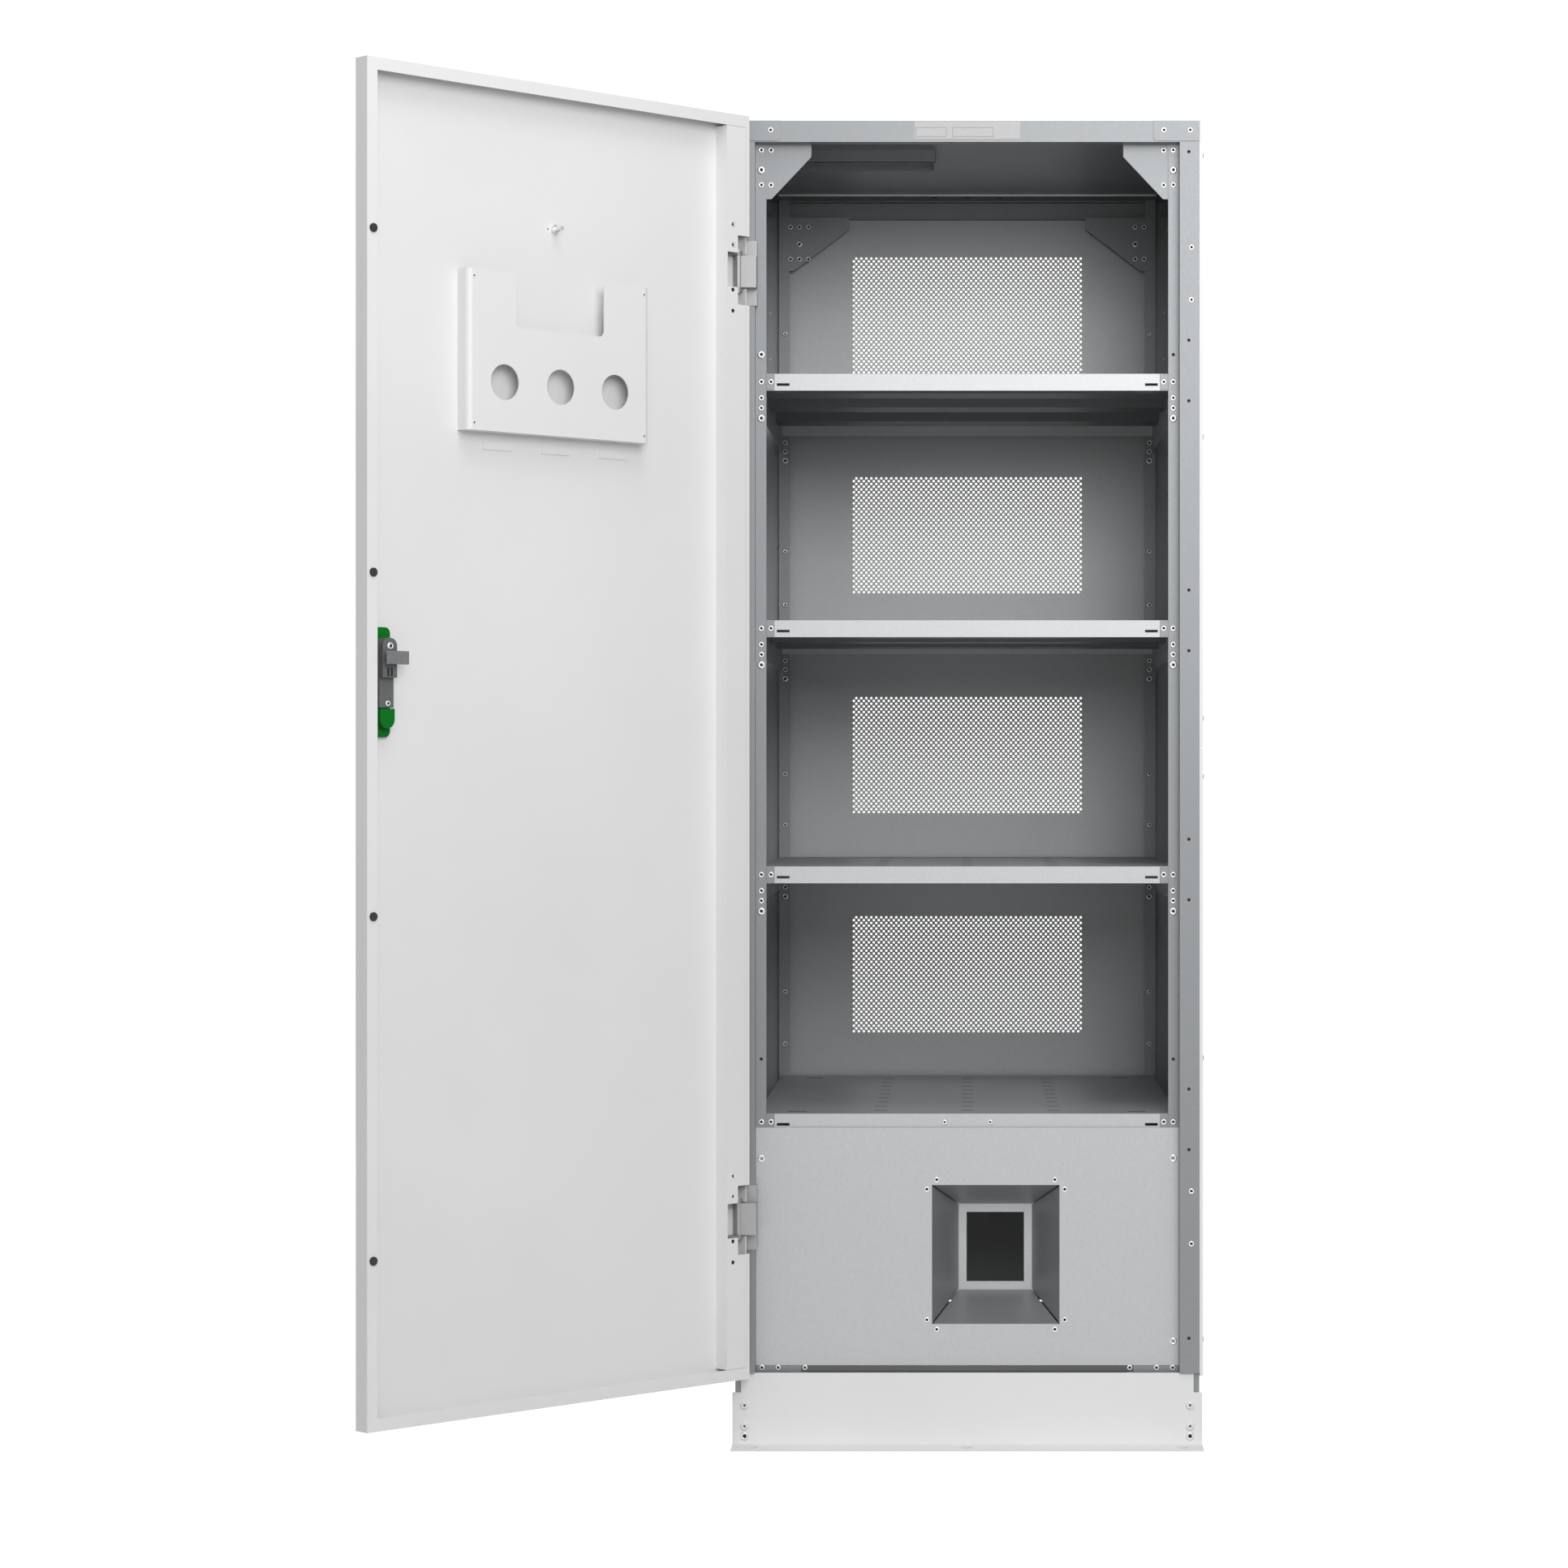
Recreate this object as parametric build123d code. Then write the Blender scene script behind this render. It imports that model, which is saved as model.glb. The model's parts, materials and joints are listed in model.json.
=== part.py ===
from build123d import *
import os
from math import cos, sin, radians, hypot

# Floor-standing battery cabinet with an open front door. Millimetres, X right, Y away from the
# viewer, Z up. Origin on the floor, at the centre of the anchor holes.

# ---- driving sizes ----
width = 700.0
frame_depth = 820.0
top_z = 1968.0
plinth_top = 108.0
gap = 0.3

# sheet thicknesses
frame_sheet = 2.0
light_sheet = 1.5
panel_sheet = 1.2
plinth_sheet = 2.5

# corner posts
panel_depth = 5.0
post_face = 29.5
post_step = 22.0
post_flange = 16.0
post_return = 45.0

# rails
rail_height = 30.0
rail_flange = 20.0

# plinth
flange_depth = 52.0
plinth_setback = 4.0
anchor_inset = 31.0
anchor_setback = 29.5
anchor_dia = 17.5
notch_width = 13.0
notch_height = 29.0

# shelves
shelf_tops = (491.5, 860.0, 1227.0, 1594.5)
shelf_front = 25.0
shelf_side = 53.0
slot_length = 19.0
slot_height = 4.0
slot_inset = 15.5
slot_drop = 14.0
hat_width = 110.0
hat_height = 20.0
hat_lip = 14.0
hat_setbacks = (86.0, 309.0, 547.0)

# roof
entry_inset = 60.0
entry_width = 240.0
entry_setback = 262.0
entry_length = 88.0
entry_collar = 20.0
entry_cover_lap = 12.0
cover_sheet = 2.0

# rear panel
field_width = 389.0
field_height = 200.5
field_tops = (762.0, 1133.0, 1505.0, 1877.0)
field_columns = 11
field_rows = 6
field_hole = 22.0
rear_bottom = 110.0

# side panels
panel_split = 1037.0
panel_joint = 2.0
panel_bottom = 104.0

# lower cover and funnel
cover_bottom = 117.0
cover_top = 471.0
funnel_x = 42.4
funnel_z = 282.0
mouth_width = 190.0
mouth_height = 207.0
inner_width = 111.0
inner_height = 130.0
funnel_length = 100.0
funnel_flange = 14.0
funnel_seam = 1.6
window_width = 87.0
window_height = 105.0
window_border = 14.0

# door, set out closed and then turned to its open rest pose
door_side_gap = 3.0
door_bottom = 103.5
door_over_roof = 2.0
door_thick = 26.0
door_gap = 4.0
door_open = 135.0
edge_flange = 17.4
hinge_lip = 6.5
channel_end = 44.4
hinge_up = 236.0
hinge_down = 229.0
pivot_inset = 8.0
pivot_out = 20.0
leaf_height = 96.0
arm_height = 47.0
arm_room_gap = 2.0
leaf_room = 3.0
ear_height = 6.0
leaf_plate = 3.0
pin_radius = 3.0
pin_clear = 0.05
knuckle_radius = 6.0
arm_inset = 3.0
relief_depth = 7.0
relief_width = 22.8
hinge_bolt_inset = 12.2
hinge_bolt_radius = 2.6
hinge_bolt_pitch = 78.0

# document pocket on the door
pocket_s = 194.0
pocket_width = 328.0
pocket_down = 271.5
pocket_height = 224.0
pocket_depth = 25.0
pocket_wall = 2.0
pocket_notch_width = 159.7
pocket_notch_depth = 77.0
pocket_hole_dia = 50.0
pocket_hole_z = 69.5
pocket_hole_pitch = 100.0
tab_width = 52.0
tab_height = 12.0
tab_offset = 10.0
stud_offset = 7.0
stud_up = 72.0
stud_length = 20.0
tab_pitch = 105.0

# latch
latch_inset = 39.0
latch_z = 1155.0
latch_plate_width = 34.0
latch_plate_height = 150.0
latch_plate_thick = 4.0
latch_plate_drop = 33.0
housing_margin = 4.0
housing_depth = 6.0
boss_radius = 12.0
case_half = 12.0
case_above = 27.0
case_below = 68.0
barrel_length = 17.0
spindle_radius = 5.0
bore_clear = 0.05
tongue_reach = 24.0
tongue_width = 15.0
tongue_thick = 3.0
tongue_tail = 6.5
tongue_in = 10.0
lever_width = 22.0
lever_thick = 10.0
lever_lift = 1.5
lever_axis_out = 7.3
lever_heel = 4.0
lever_pin_radius = 2.0
hub_half = 5.0
hub_height = 18.0
barrel_radius = 7.0
barrel_drop = 84.0
strike_height = 44.0
strike_drop = 8.0
strike_depth = 10.0
buffer_margin = 232.5
buffer_inset = 10.0
buffer_count = 4
buffer_dia = 12.0
buffer_height = 2.2

# ---- places worked out from the sizes ----
half = width / 2
post_x = half - panel_depth
step_x = post_x - post_face
flange_x = step_x - post_flange
front = -frame_depth / 2
inner_front = front + post_step
roof_under = top_z - light_sheet
inside = inner_front + frame_sheet
door_inner = front - door_gap
plinth_face = front + plinth_setback
plinth_back = plinth_face + plinth_sheet
door_outer = door_inner - door_thick
door_left = -half + door_side_gap
door_right = half - door_side_gap
door_top = top_z + door_over_roof
hinge_z = (door_bottom + hinge_up, door_top - hinge_down)
pivot_x = door_left + pivot_inset
pocket_bottom = door_top - pocket_down - pocket_height
hinge_bolt_x = post_x - hinge_bolt_inset
pivot_y = front - pivot_out


def block(x0, x1, y0, y1, z0, z1):
    """Box between two corners."""
    return Pos((x0 + x1) / 2, (y0 + y1) / 2, (z0 + z1) / 2) * Box(abs(x1 - x0), abs(y1 - y0), abs(z1 - z0))


def fold(points, sheet):
    """Closed outline of a folded sheet, the sheet lying on the right of its walking direction."""
    inner = []
    count = len(points)
    for i, (x, y) in enumerate(points):
        normals = []
        for a, b in ((i - 1, i), (i, i + 1)):
            if a >= 0 and b < count:
                dx = points[b][0] - points[a][0]
                dy = points[b][1] - points[a][1]
                length = hypot(dx, dy)
                normals.append((dy / length, -dx / length))
        if len(normals) == 1:
            nx, ny = normals[0]
        else:
            (ax, ay), (bx, by) = normals
            scale = 1 / (1 + ax * bx + ay * by)
            nx, ny = (ax + bx) * scale, (ay + by) * scale
        inner.append((x + nx * sheet, y + ny * sheet))
    return make_face(Polyline(*points, *reversed(inner), close=True))


def upright_profile(points, sheet, z0, z1):
    """Folded sheet drawn in plan and raised from z0 to z1."""
    return Pos(0, 0, z0) * extrude(fold(points, sheet), z1 - z0, dir=(0, 0, 1))


def crosswise_profile(points, sheet, x0, x1):
    """Folded sheet drawn in side view (y, z) and run from x0 to x1."""
    face = Plane.YZ * fold(points, sheet)
    return Pos(x0, 0, 0) * extrude(face, x1 - x0, dir=(1, 0, 0))


def peg(x, y, z, radius, length, axis):
    """Round pin starting at a point and running along an axis."""
    plane = Plane(origin=(x, y, z), z_dir=axis)
    return plane * Pos(0, 0, length / 2) * Cylinder(radius, length)


def mirrored_x(shape):
    return mirror(shape, about=Plane.YZ)


def mirrored_y(shape):
    return mirror(shape, about=Plane.XZ)


def save(name, shape):
    parts = list(shape) if isinstance(shape, (list, tuple)) else [shape]
    solids = [solid for part in parts for solid in part.solids()]
    export_step(solids[0] if len(solids) == 1 else Compound(children=solids), f"parts/{name}.step")


# ---- plinth ----
def plinth_end():
    """Front plate with an outward floor flange, notched top corners and bolt holes."""
    edge_x = half - light_sheet / 2
    profile = [(plinth_back, plinth_top), (plinth_back, 0), (plinth_face - flange_depth, 0)]
    plate = crosswise_profile(profile, plinth_sheet, -edge_x, edge_x)
    for side in (-1, 1):
        plate -= block(side * (edge_x - notch_width), side * (half + 1), plinth_face - 1, plinth_back + 1,
                       plinth_top - notch_height, plinth_top + 1)
    anchor_x = half - anchor_inset
    for x in (-anchor_x, 0, anchor_x):
        hole_y = plinth_face - anchor_setback
        plate -= peg(x, hole_y, -1, anchor_dia / 2, plinth_sheet + 2, (0, 0, 1))
    return plate


def plinth_side():
    """Right side plate with an inward floor flange."""
    reach = -plinth_back
    plate = block(post_x - plinth_sheet, post_x, -reach, reach, 0, plinth_top)
    return plate + block(post_x - rail_height, post_x, -reach, reach, 0, plinth_sheet)


# ---- frame ----
def post():
    """Front right corner post: one folded sheet with a stepped inner flange."""
    outline = [(post_x, front + post_return), (post_x, front), (step_x, front),
               (step_x, inner_front), (flange_x, inner_front)]
    shape = upright_profile(outline, frame_sheet, plinth_top, roof_under)
    strike_z = latch_z - strike_drop
    shape -= block(step_x - 1, step_x + frame_sheet + 1, front + frame_sheet,
                   front + frame_sheet + strike_depth, strike_z - strike_height / 2, strike_z + strike_height / 2)
    for z in hinge_z:
        for offset in (-hinge_bolt_pitch / 2, hinge_bolt_pitch / 2):
            shape -= peg(hinge_bolt_x, front - 1, z + offset, hinge_bolt_radius, frame_sheet + 2, (0, 1, 0))
    return shape


def end_rail(y0, z0, half_length):
    """Front rail, a channel open to the inside of the cabinet."""
    reach = y0 + rail_flange
    outline = [(reach, z0), (y0, z0), (y0, z0 + rail_height), (reach, z0 + rail_height)]
    return crosswise_profile(outline, light_sheet, -half_length, half_length)


def side_rail(x1, z0):
    """Right side rail, a channel between the front and rear posts."""
    length = -front - post_return
    outline = [(x1 - rail_flange, z0), (x1, z0), (x1, z0 + rail_height), (x1 - rail_flange, z0 + rail_height)]
    face = Plane.XZ * fold(list(reversed(outline)), light_sheet)
    return Pos(0, -length, 0) * extrude(face, 2 * length, dir=(0, 1, 0))


def corner_plate():
    """Overlay plate that joins the top rail to the post."""
    plate = block(flange_x - 23, post_x, front - light_sheet, front, top_z - rail_height, top_z)
    corner = plate.edges().filter_by(Axis.Y).sort_by(lambda e: e.center().X + e.center().Z)[0]
    return fillet(corner, 6)


def gusset(reach, drop):
    """Diagonal corner plate behind the inner flange of the post."""
    top = roof_under - rail_height + light_sheet
    x1 = step_x - frame_sheet - gap
    x0 = flange_x - reach
    outline = Polyline((x1, top), (x0, top), (x0, top - 20), (flange_x - 7.6, top - drop), (x1, top - drop),
                       close=True)
    face = Plane.XZ * make_face(outline)
    return Pos(0, inside, 0) * extrude(face, light_sheet, dir=(0, 1, 0))


# ---- shelves ----
def shelf(z):
    """Folded pan: flat top with down-turned front, rear and side walls."""
    edge_x = step_x - frame_sheet - gap
    depth = -inside
    body = block(-edge_x, edge_x, -depth, depth, z - light_sheet, z)
    for side in (-1, 1):
        body += block(side * (edge_x - light_sheet), side * edge_x, -depth, depth, z - shelf_side, z)
        body += block(-edge_x, edge_x, side * depth, side * (depth - light_sheet), z - shelf_front, z)
    for side in (-1, 1):
        body -= block(side * (edge_x - 1 - light_sheet), side * (edge_x + 1), -depth - 1, -depth + 18,
                      z - shelf_side - 1, z - shelf_front)
        slot_x = flange_x - slot_inset
        body -= block(side * (slot_x - slot_length), side * slot_x, -depth - 1, -depth + light_sheet + 1,
                      z - slot_drop - slot_height, z - slot_drop)
    return body


def shelf_hats(z):
    """Three hat channels that stiffen the shelf from below."""
    edge_x = step_x - frame_sheet - gap - light_sheet
    top = z - light_sheet
    hats = []
    for setback in hat_setbacks:
        y0 = front + setback
        y1 = y0 + hat_width
        outline = [(y0, top), (y0 + hat_lip, top), (y0 + hat_lip, top - hat_height),
                   (y1 - hat_lip, top - hat_height), (y1 - hat_lip, top), (y1, top)]
        outline = [(y, v - light_sheet if v > top - 1 else v) for y, v in outline]
        hats.append(crosswise_profile(list(reversed(outline)), light_sheet, -edge_x, edge_x))
    return hats


# ---- roof and skins ----
def entry_box(grow, z0, z1):
    y0 = front + entry_setback
    entry_x = entry_inset - half + entry_width / 2
    return block(entry_x - entry_width / 2 - grow, entry_x + entry_width / 2 + grow, y0 - grow,
                 y0 + entry_length + grow, z0, z1)


def roof():
    sheet = block(-post_x, post_x, front, -front, roof_under, top_z)
    return sheet - entry_box(0, roof_under - 1, top_z + 1)


def entry_frame():
    """Collar that lines the cable opening in the roof."""
    z0 = roof_under - entry_collar
    return entry_box(0, z0, top_z) - entry_box(-light_sheet, z0 - 1, top_z + 1)


def entry_cover():
    return entry_box(entry_cover_lap, top_z, top_z + cover_sheet)


def rear_panel():
    """Rear sheet with four perforated fields, the holes staggered row by row."""
    y = -front
    sheet = block(-post_x, post_x, y, y + light_sheet, rear_bottom, top_z)
    pitch_x = field_width / field_columns
    pitch_z = field_height / field_rows
    holes = []
    for top in field_tops:
        for row in range(field_rows):
            columns = field_columns - row % 2
            for column in range(columns):
                x = (column - (columns - 1) / 2) * pitch_x
                z = top - (row + 0.5) * pitch_z
                holes.append(Plane.XZ * Pos(x, z) * RegularPolygon(field_hole / 2, 4))
    cutters = extrude(Sketch() + holes, light_sheet + 2, dir=(0, 1, 0))
    return sheet - Pos(0, y - 1, 0) * cutters


def side_panel(z0, z1):
    """Shallow pan that covers half a side, its open face towards the posts."""
    pan = block(post_x, half, front, -front, z0, z1)
    return pan - block(post_x - 1, half - panel_sheet, front + panel_sheet, -front - panel_sheet,
                       z0 + panel_sheet, z1 - panel_sheet)


# ---- lower cover and funnel ----
def lower_cover():
    y1 = inner_front
    cover = block(-step_x + gap, step_x - gap, y1 - light_sheet, y1, cover_bottom, cover_top)
    mouth = block(funnel_x - mouth_width / 2, funnel_x + mouth_width / 2, y1 - 9, y1 + 9,
                  funnel_z - mouth_height / 2, funnel_z + mouth_height / 2)
    return cover - mouth


def funnel_wall(across, mouth, inner, mouth_off, inner_off, turn):
    """One tapered wall with its flange, drawn below the funnel's axis and turned about it."""
    m = mouth / 2 - funnel_seam
    n = inner / 2 - funnel_seam
    y0 = inner_front
    y1 = y0 + funnel_length
    slope = (mouth_off - inner_off) / funnel_length
    lean = light_sheet * hypot(1, slope)
    ends = []
    for y, w, off in ((y0, m, mouth_off), (y1, n, inner_off)):
        outline = Polyline((-w, -off), (w, -off), (w, -off - lean), (-w, -off - lean), close=True)
        ends.append(Plane(origin=(0, y, 0), x_dir=(1, 0, 0), z_dir=(0, -1, 0)) * make_face(outline))
    wall = loft(ends)
    wall += block(-m, m, y0, y0 + light_sheet, -mouth_off - lean - funnel_flange, -mouth_off - lean / 2)
    return Pos(funnel_x, 0, funnel_z) * (Rot(0, turn, 0) * wall)


def funnel_walls():
    mw, mh, iw, ih = mouth_width, mouth_height, inner_width, inner_height
    names = ("funnel_floor", "funnel_right", "funnel_top", "funnel_left")
    for turn, name in enumerate(names):
        if turn % 2 == 0:
            yield name, funnel_wall("x", mw, iw, mh / 2, ih / 2, 90 * turn)
        else:
            yield name, funnel_wall("z", mh, ih, mw / 2, iw / 2, -90 * turn)


def breaker_frame():
    """Plate with a window at the inner end of the funnel."""
    y0 = inner_front + funnel_length
    outer = [(inner_width / 2 + window_border), (inner_height / 2 + window_border)]
    plate = block(-outer[0], outer[0], y0, y0 + frame_sheet, -outer[1], outer[1])
    plate -= block(-window_width / 2, window_width / 2, y0 - 1, y0 + 9, -window_height / 2, window_height / 2)
    return Pos(funnel_x, 0, funnel_z) * plate


def cover_foot():
    """Right foot bracket under the lower cover, standing on the bottom rail."""
    x0 = step_x - 68
    x1 = step_x - gap
    bracket = block(x0, x1, inner_front - light_sheet, inner_front, plinth_top, cover_bottom - gap)
    return bracket + block(x0, flange_x - gap, inner_front, inner_front + 20, plinth_top, plinth_top + light_sheet)


# ---- hinges ----
def frame_leaf(z):
    """Leaf bolted to the post, with a forward arm that carries the pin."""
    edge = -step_x + gap
    leaf = block(-post_x + 2, edge + 3, front - frame_sheet, front, z - leaf_height / 2, z + leaf_height / 2)
    leaf += block(edge, edge + 3, front - frame_sheet, front + 12, z - leaf_height / 2, z + leaf_height / 2)
    arm = block(pivot_x + arm_inset, edge + 3, pivot_y - 4, front, z - arm_height / 2, z + arm_height / 2)
    arm += peg(pivot_x, pivot_y, z - arm_height / 2, knuckle_radius, arm_height, (0, 0, 1))
    bore = peg(pivot_x, pivot_y, z - arm_height, pin_radius + pin_clear, 2 * arm_height, (0, 0, 1))
    return leaf + arm - bore


def hinge_pin(z):
    length = arm_height + 2 * (gap + ear_height) + 2
    return peg(pivot_x, pivot_y, z - length / 2, pin_radius, length, (0, 0, 1))


def door_leaf(z):
    """Two ears above and below the arm, joined by a plate on the channel wall."""
    y0 = door_outer + light_sheet
    ear = ear_height
    start = arm_height / 2 + gap
    plate_x = door_left + channel_end - light_sheet
    shape = None
    for side in (-1, 1):
        z0, z1 = z + side * start, z + side * (start + ear)
        piece = block(pivot_x, plate_x, y0, pivot_y + leaf_plate, z0, z1)
        piece += peg(pivot_x, pivot_y, min(z0, z1), knuckle_radius, ear, (0, 0, 1))
        shape = piece if shape is None else shape + piece
    shape += block(plate_x - leaf_plate, plate_x, y0, pivot_y + leaf_plate, z - start - ear, z + start + ear)
    reach = start + ear + 1
    return shape - peg(pivot_x, pivot_y, z - reach, pin_radius + pin_clear, 2 * reach, (0, 0, 1))


# ---- door ----
def door_cut(z):
    """Room in the hinge edge of the door for the frame leaf and its arm."""
    x0 = door_left - 1
    deep = door_left + channel_end - light_sheet
    skin = door_outer + light_sheet
    reach = leaf_height / 2 + leaf_room
    arm_reach = arm_height / 2 + arm_room_gap
    relief = block(x0, door_left + relief_width, door_inner - relief_depth, door_inner + 1, z - reach, z + reach)
    arm_room = block(x0, deep, skin, door_inner + 1, z - arm_reach, z + arm_reach)
    return [relief, arm_room]


def door_pan():
    right = door_right
    pan = block(door_left, right, door_outer, door_inner, door_bottom, door_top)
    pan -= block(door_left + light_sheet, right - light_sheet, door_outer + light_sheet, door_inner + 1,
                 door_bottom + light_sheet, door_top - light_sheet)
    lip = block(right - edge_flange, right - 0.1, door_inner - light_sheet, door_inner,
                door_bottom + 0.1, door_top - 0.1)
    lips = [lip, block(door_left + 0.1, door_left + hinge_lip, door_inner - light_sheet, door_inner,
                       door_bottom + 0.1, door_top - 0.1)]
    for z in (door_bottom, door_top - edge_flange):
        lips.append(block(door_left + hinge_lip - 1, right - edge_flange + 1, door_inner - light_sheet,
                          door_inner, z + 0.1, z + edge_flange - 0.1))
    pan += lips
    for z in hinge_z:
        pan -= door_cut(z)
    for z, radius in ((latch_z, spindle_radius), (latch_z - barrel_drop, barrel_radius)):
        pan -= peg(latch_x, door_outer - 1, z, radius + 1, light_sheet + 2, (0, 1, 0))
    return pan


def door_channel():
    """Box channel along the hinge edge, welded to the skin."""
    z0 = door_bottom + edge_flange + gap
    z1 = door_top - edge_flange - gap
    x0 = door_left + hinge_lip + gap
    x1 = door_left + channel_end
    face = block(x0, x1, door_inner - light_sheet, door_inner, z0, z1)
    face += block(x1 - light_sheet, x1, door_outer + light_sheet, door_inner, z0, z1)
    for z in hinge_z:
        face -= door_cut(z)
    return face


def pocket():
    """Open-topped sheet pocket on the inside of the door."""
    x0 = door_left + pocket_s
    x1 = x0 + pocket_width
    skin = door_outer + light_sheet
    y1 = skin + pocket_depth
    z1 = pocket_bottom + pocket_height
    body = block(x0, x1, skin, y1, pocket_bottom, z1)
    upright = body.edges().filter_by(Axis.Z).sort_by(Axis.Y)[-2:]
    body = fillet(upright, 8)
    hollow = block(x0 + pocket_wall, x1 - pocket_wall, skin - 1, y1 - pocket_wall,
                   pocket_bottom + pocket_wall, z1 + 9)
    upright = hollow.edges().filter_by(Axis.Z).sort_by(Axis.Y)[-2:]
    body -= fillet(upright, 8 - pocket_wall)
    middle = (x0 + x1) / 2
    notch = block(middle - pocket_notch_width / 2, middle + pocket_notch_width / 2,
                  y1 - pocket_wall - 1, y1 + 1, z1 - pocket_notch_depth, z1 + 20)
    low = notch.edges().filter_by(Axis.Y).sort_by(Axis.Z)[:2]
    body -= fillet(low, 8)
    for step in (-1, 0, 1):
        body -= peg(middle + step * pocket_hole_pitch, y1 - pocket_wall - 1, pocket_bottom + pocket_hole_z,
                    pocket_hole_dia / 2, pocket_wall + 2, (0, 1, 0))
    return body


def pocket_tabs():
    middle = door_left + pocket_s + pocket_width / 2
    skin = door_outer + light_sheet
    for step in (-1, 0, 1):
        x = middle + step * tab_pitch - tab_offset
        yield block(x - tab_width / 2, x + tab_width / 2, skin, skin + light_sheet,
                    pocket_bottom - 2 * tab_height, pocket_bottom - tab_height)


def buffers():
    x = door_right - buffer_inset
    low = door_bottom + buffer_margin
    pitch = (door_top - buffer_margin - low) / (buffer_count - 1)
    for z in (low + pitch * i for i in range(buffer_count)):
        yield peg(x, door_inner, z, buffer_dia / 2, buffer_height, (0, 1, 0))


def earth_stud():
    x = door_left + pocket_s + pocket_width / 2 - stud_offset
    z = pocket_bottom + pocket_height + stud_up
    skin = door_outer + light_sheet
    return peg(x, skin, z, 3, stud_length, (0, 1, 0)) + Plane(origin=(x, skin, z), z_dir=(0, 1, 0)) * extrude(
        RegularPolygon(6.5, 6), 5)


# ---- latch ----
latch_x = door_right - latch_inset
plate_face = door_outer - latch_plate_thick
barrel_z = latch_z - barrel_drop
latch_plate_z = latch_z - latch_plate_drop


def latch_plate():
    """Flat plate on the outside of the door, with the spindle and key bores."""
    w = latch_plate_width / 2
    z0 = latch_plate_z - latch_plate_height / 2
    body = block(latch_x - w, latch_x + w, plate_face, door_outer, z0, z0 + latch_plate_height)
    body = fillet(body.edges().filter_by(Axis.Y), 12)
    body -= peg(latch_x, plate_face - 1, latch_z, spindle_radius + bore_clear, latch_plate_thick + 2, (0, 1, 0))
    return body - peg(latch_x, plate_face - 1, barrel_z, barrel_radius + bore_clear,
                      latch_plate_thick + 2, (0, 1, 0))


def latch_housing():
    """Housing on the inside of the skin, with bores for the spindle and the lock barrel."""
    w = latch_plate_width / 2 - housing_margin
    skin = door_outer + light_sheet
    z0 = latch_plate_z - latch_plate_height / 2
    body = block(latch_x - w, latch_x + w, skin, skin + housing_depth, z0, z0 + latch_plate_height)
    body = fillet(body.edges().filter_by(Axis.Y), 8)
    body += peg(latch_x, skin, barrel_z, boss_radius, barrel_length + 1, (0, 1, 0))
    body -= peg(latch_x, skin - 1, latch_z, spindle_radius + 1, 20, (0, 1, 0))
    return body - peg(latch_x, skin - 1, barrel_z, barrel_radius + bore_clear, barrel_length - 2, (0, 1, 0))


def latch_case():
    """Die-cast case with a rounded top that carries the spindle on the inside."""
    w = case_half
    skin = door_outer + light_sheet
    y0 = skin + housing_depth
    y1 = door_inner - 1
    body = block(latch_x - w, latch_x + w, y0, y1, latch_z - case_below, latch_z + case_above)
    low = block(latch_x - w - 1, latch_x + w + 1, y1 - 8, y1 + 1, latch_z - case_below - 1, latch_z - case_above)
    top = body.edges().filter_by(Axis.Y).sort_by(Axis.Z)[-2:]
    body = fillet(top, 11) - low
    body -= peg(latch_x, y0 - 1, barrel_z, boss_radius + gap, 40, (0, 1, 0))
    return body - peg(latch_x, y0 - 1, latch_z, spindle_radius + bore_clear, 40, (0, 1, 0))


def spindle():
    """Spindle with its outer hub and the tongue at its inner end, pointing to the hinge side."""
    y0 = plate_face - gap
    y1 = door_inner + tongue_in
    hub_face = plate_face - lever_axis_out - lever_thick / 2 - 1
    body = peg(latch_x, y0 - 1, latch_z, spindle_radius, y1 - y0 + 1, (0, 1, 0))
    body += block(latch_x - hub_half, latch_x + hub_half, hub_face, y0, latch_z - hub_height / 2,
                  latch_z + hub_height / 2)
    tongue = block(latch_x - tongue_reach, latch_x + tongue_tail, y1 - tongue_thick, y1,
                   latch_z - tongue_width / 2, latch_z + tongue_width / 2)
    body += fillet(tongue.edges().filter_by(Axis.Y).sort_by(Axis.X)[-2:], tongue_tail - 0.5)
    return body - lever_bore(lever_pin_radius + bore_clear)


def lever_bore(radius):
    """Cross pin of the lever, or the bore for it."""
    w = lever_width / 2
    return peg(latch_x - w, plate_face - lever_axis_out, latch_z, radius, lever_width, (1, 0, 0))


def lever():
    """Lever forked over the hub, pointing up while the tongue is drawn back."""
    y1 = plate_face - lever_lift
    w = lever_width / 2
    length = barrel_drop - barrel_radius - 5
    body = block(latch_x - w, latch_x + w, y1 - lever_thick, y1, latch_z - lever_heel, latch_z + length)
    ends = body.edges().filter_by(Axis.Y).sort_by(Axis.Z)
    body = fillet(ends[-2:], w - 1)
    slot = block(latch_x - hub_half - gap, latch_x + hub_half + gap, y1 - lever_thick - 1, y1 + 1,
                 latch_z - hub_height, latch_z + hub_height)
    return body - slot - lever_bore(lever_pin_radius)


def lever_pin():
    return lever_bore(lever_pin_radius)


def key_barrel():
    """Round key barrel with a slot in its face."""
    body = peg(latch_x, plate_face, barrel_z, barrel_radius, barrel_length, (0, 1, 0))
    return body - block(latch_x - 1, latch_x + 1, plate_face - 2, plate_face + 3, barrel_z - 4, barrel_z + 4)


def opened(shape):
    """Turn a piece of the closed door about the hinge line to the open rest pose."""
    parts = list(shape) if isinstance(shape, (list, tuple)) or hasattr(shape, "__next__") else [shape]
    place = Pos(pivot_x, pivot_y, 0) * Rot(0, 0, -door_open) * Pos(-pivot_x, -pivot_y, 0)
    return [place * part for part in parts]


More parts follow.
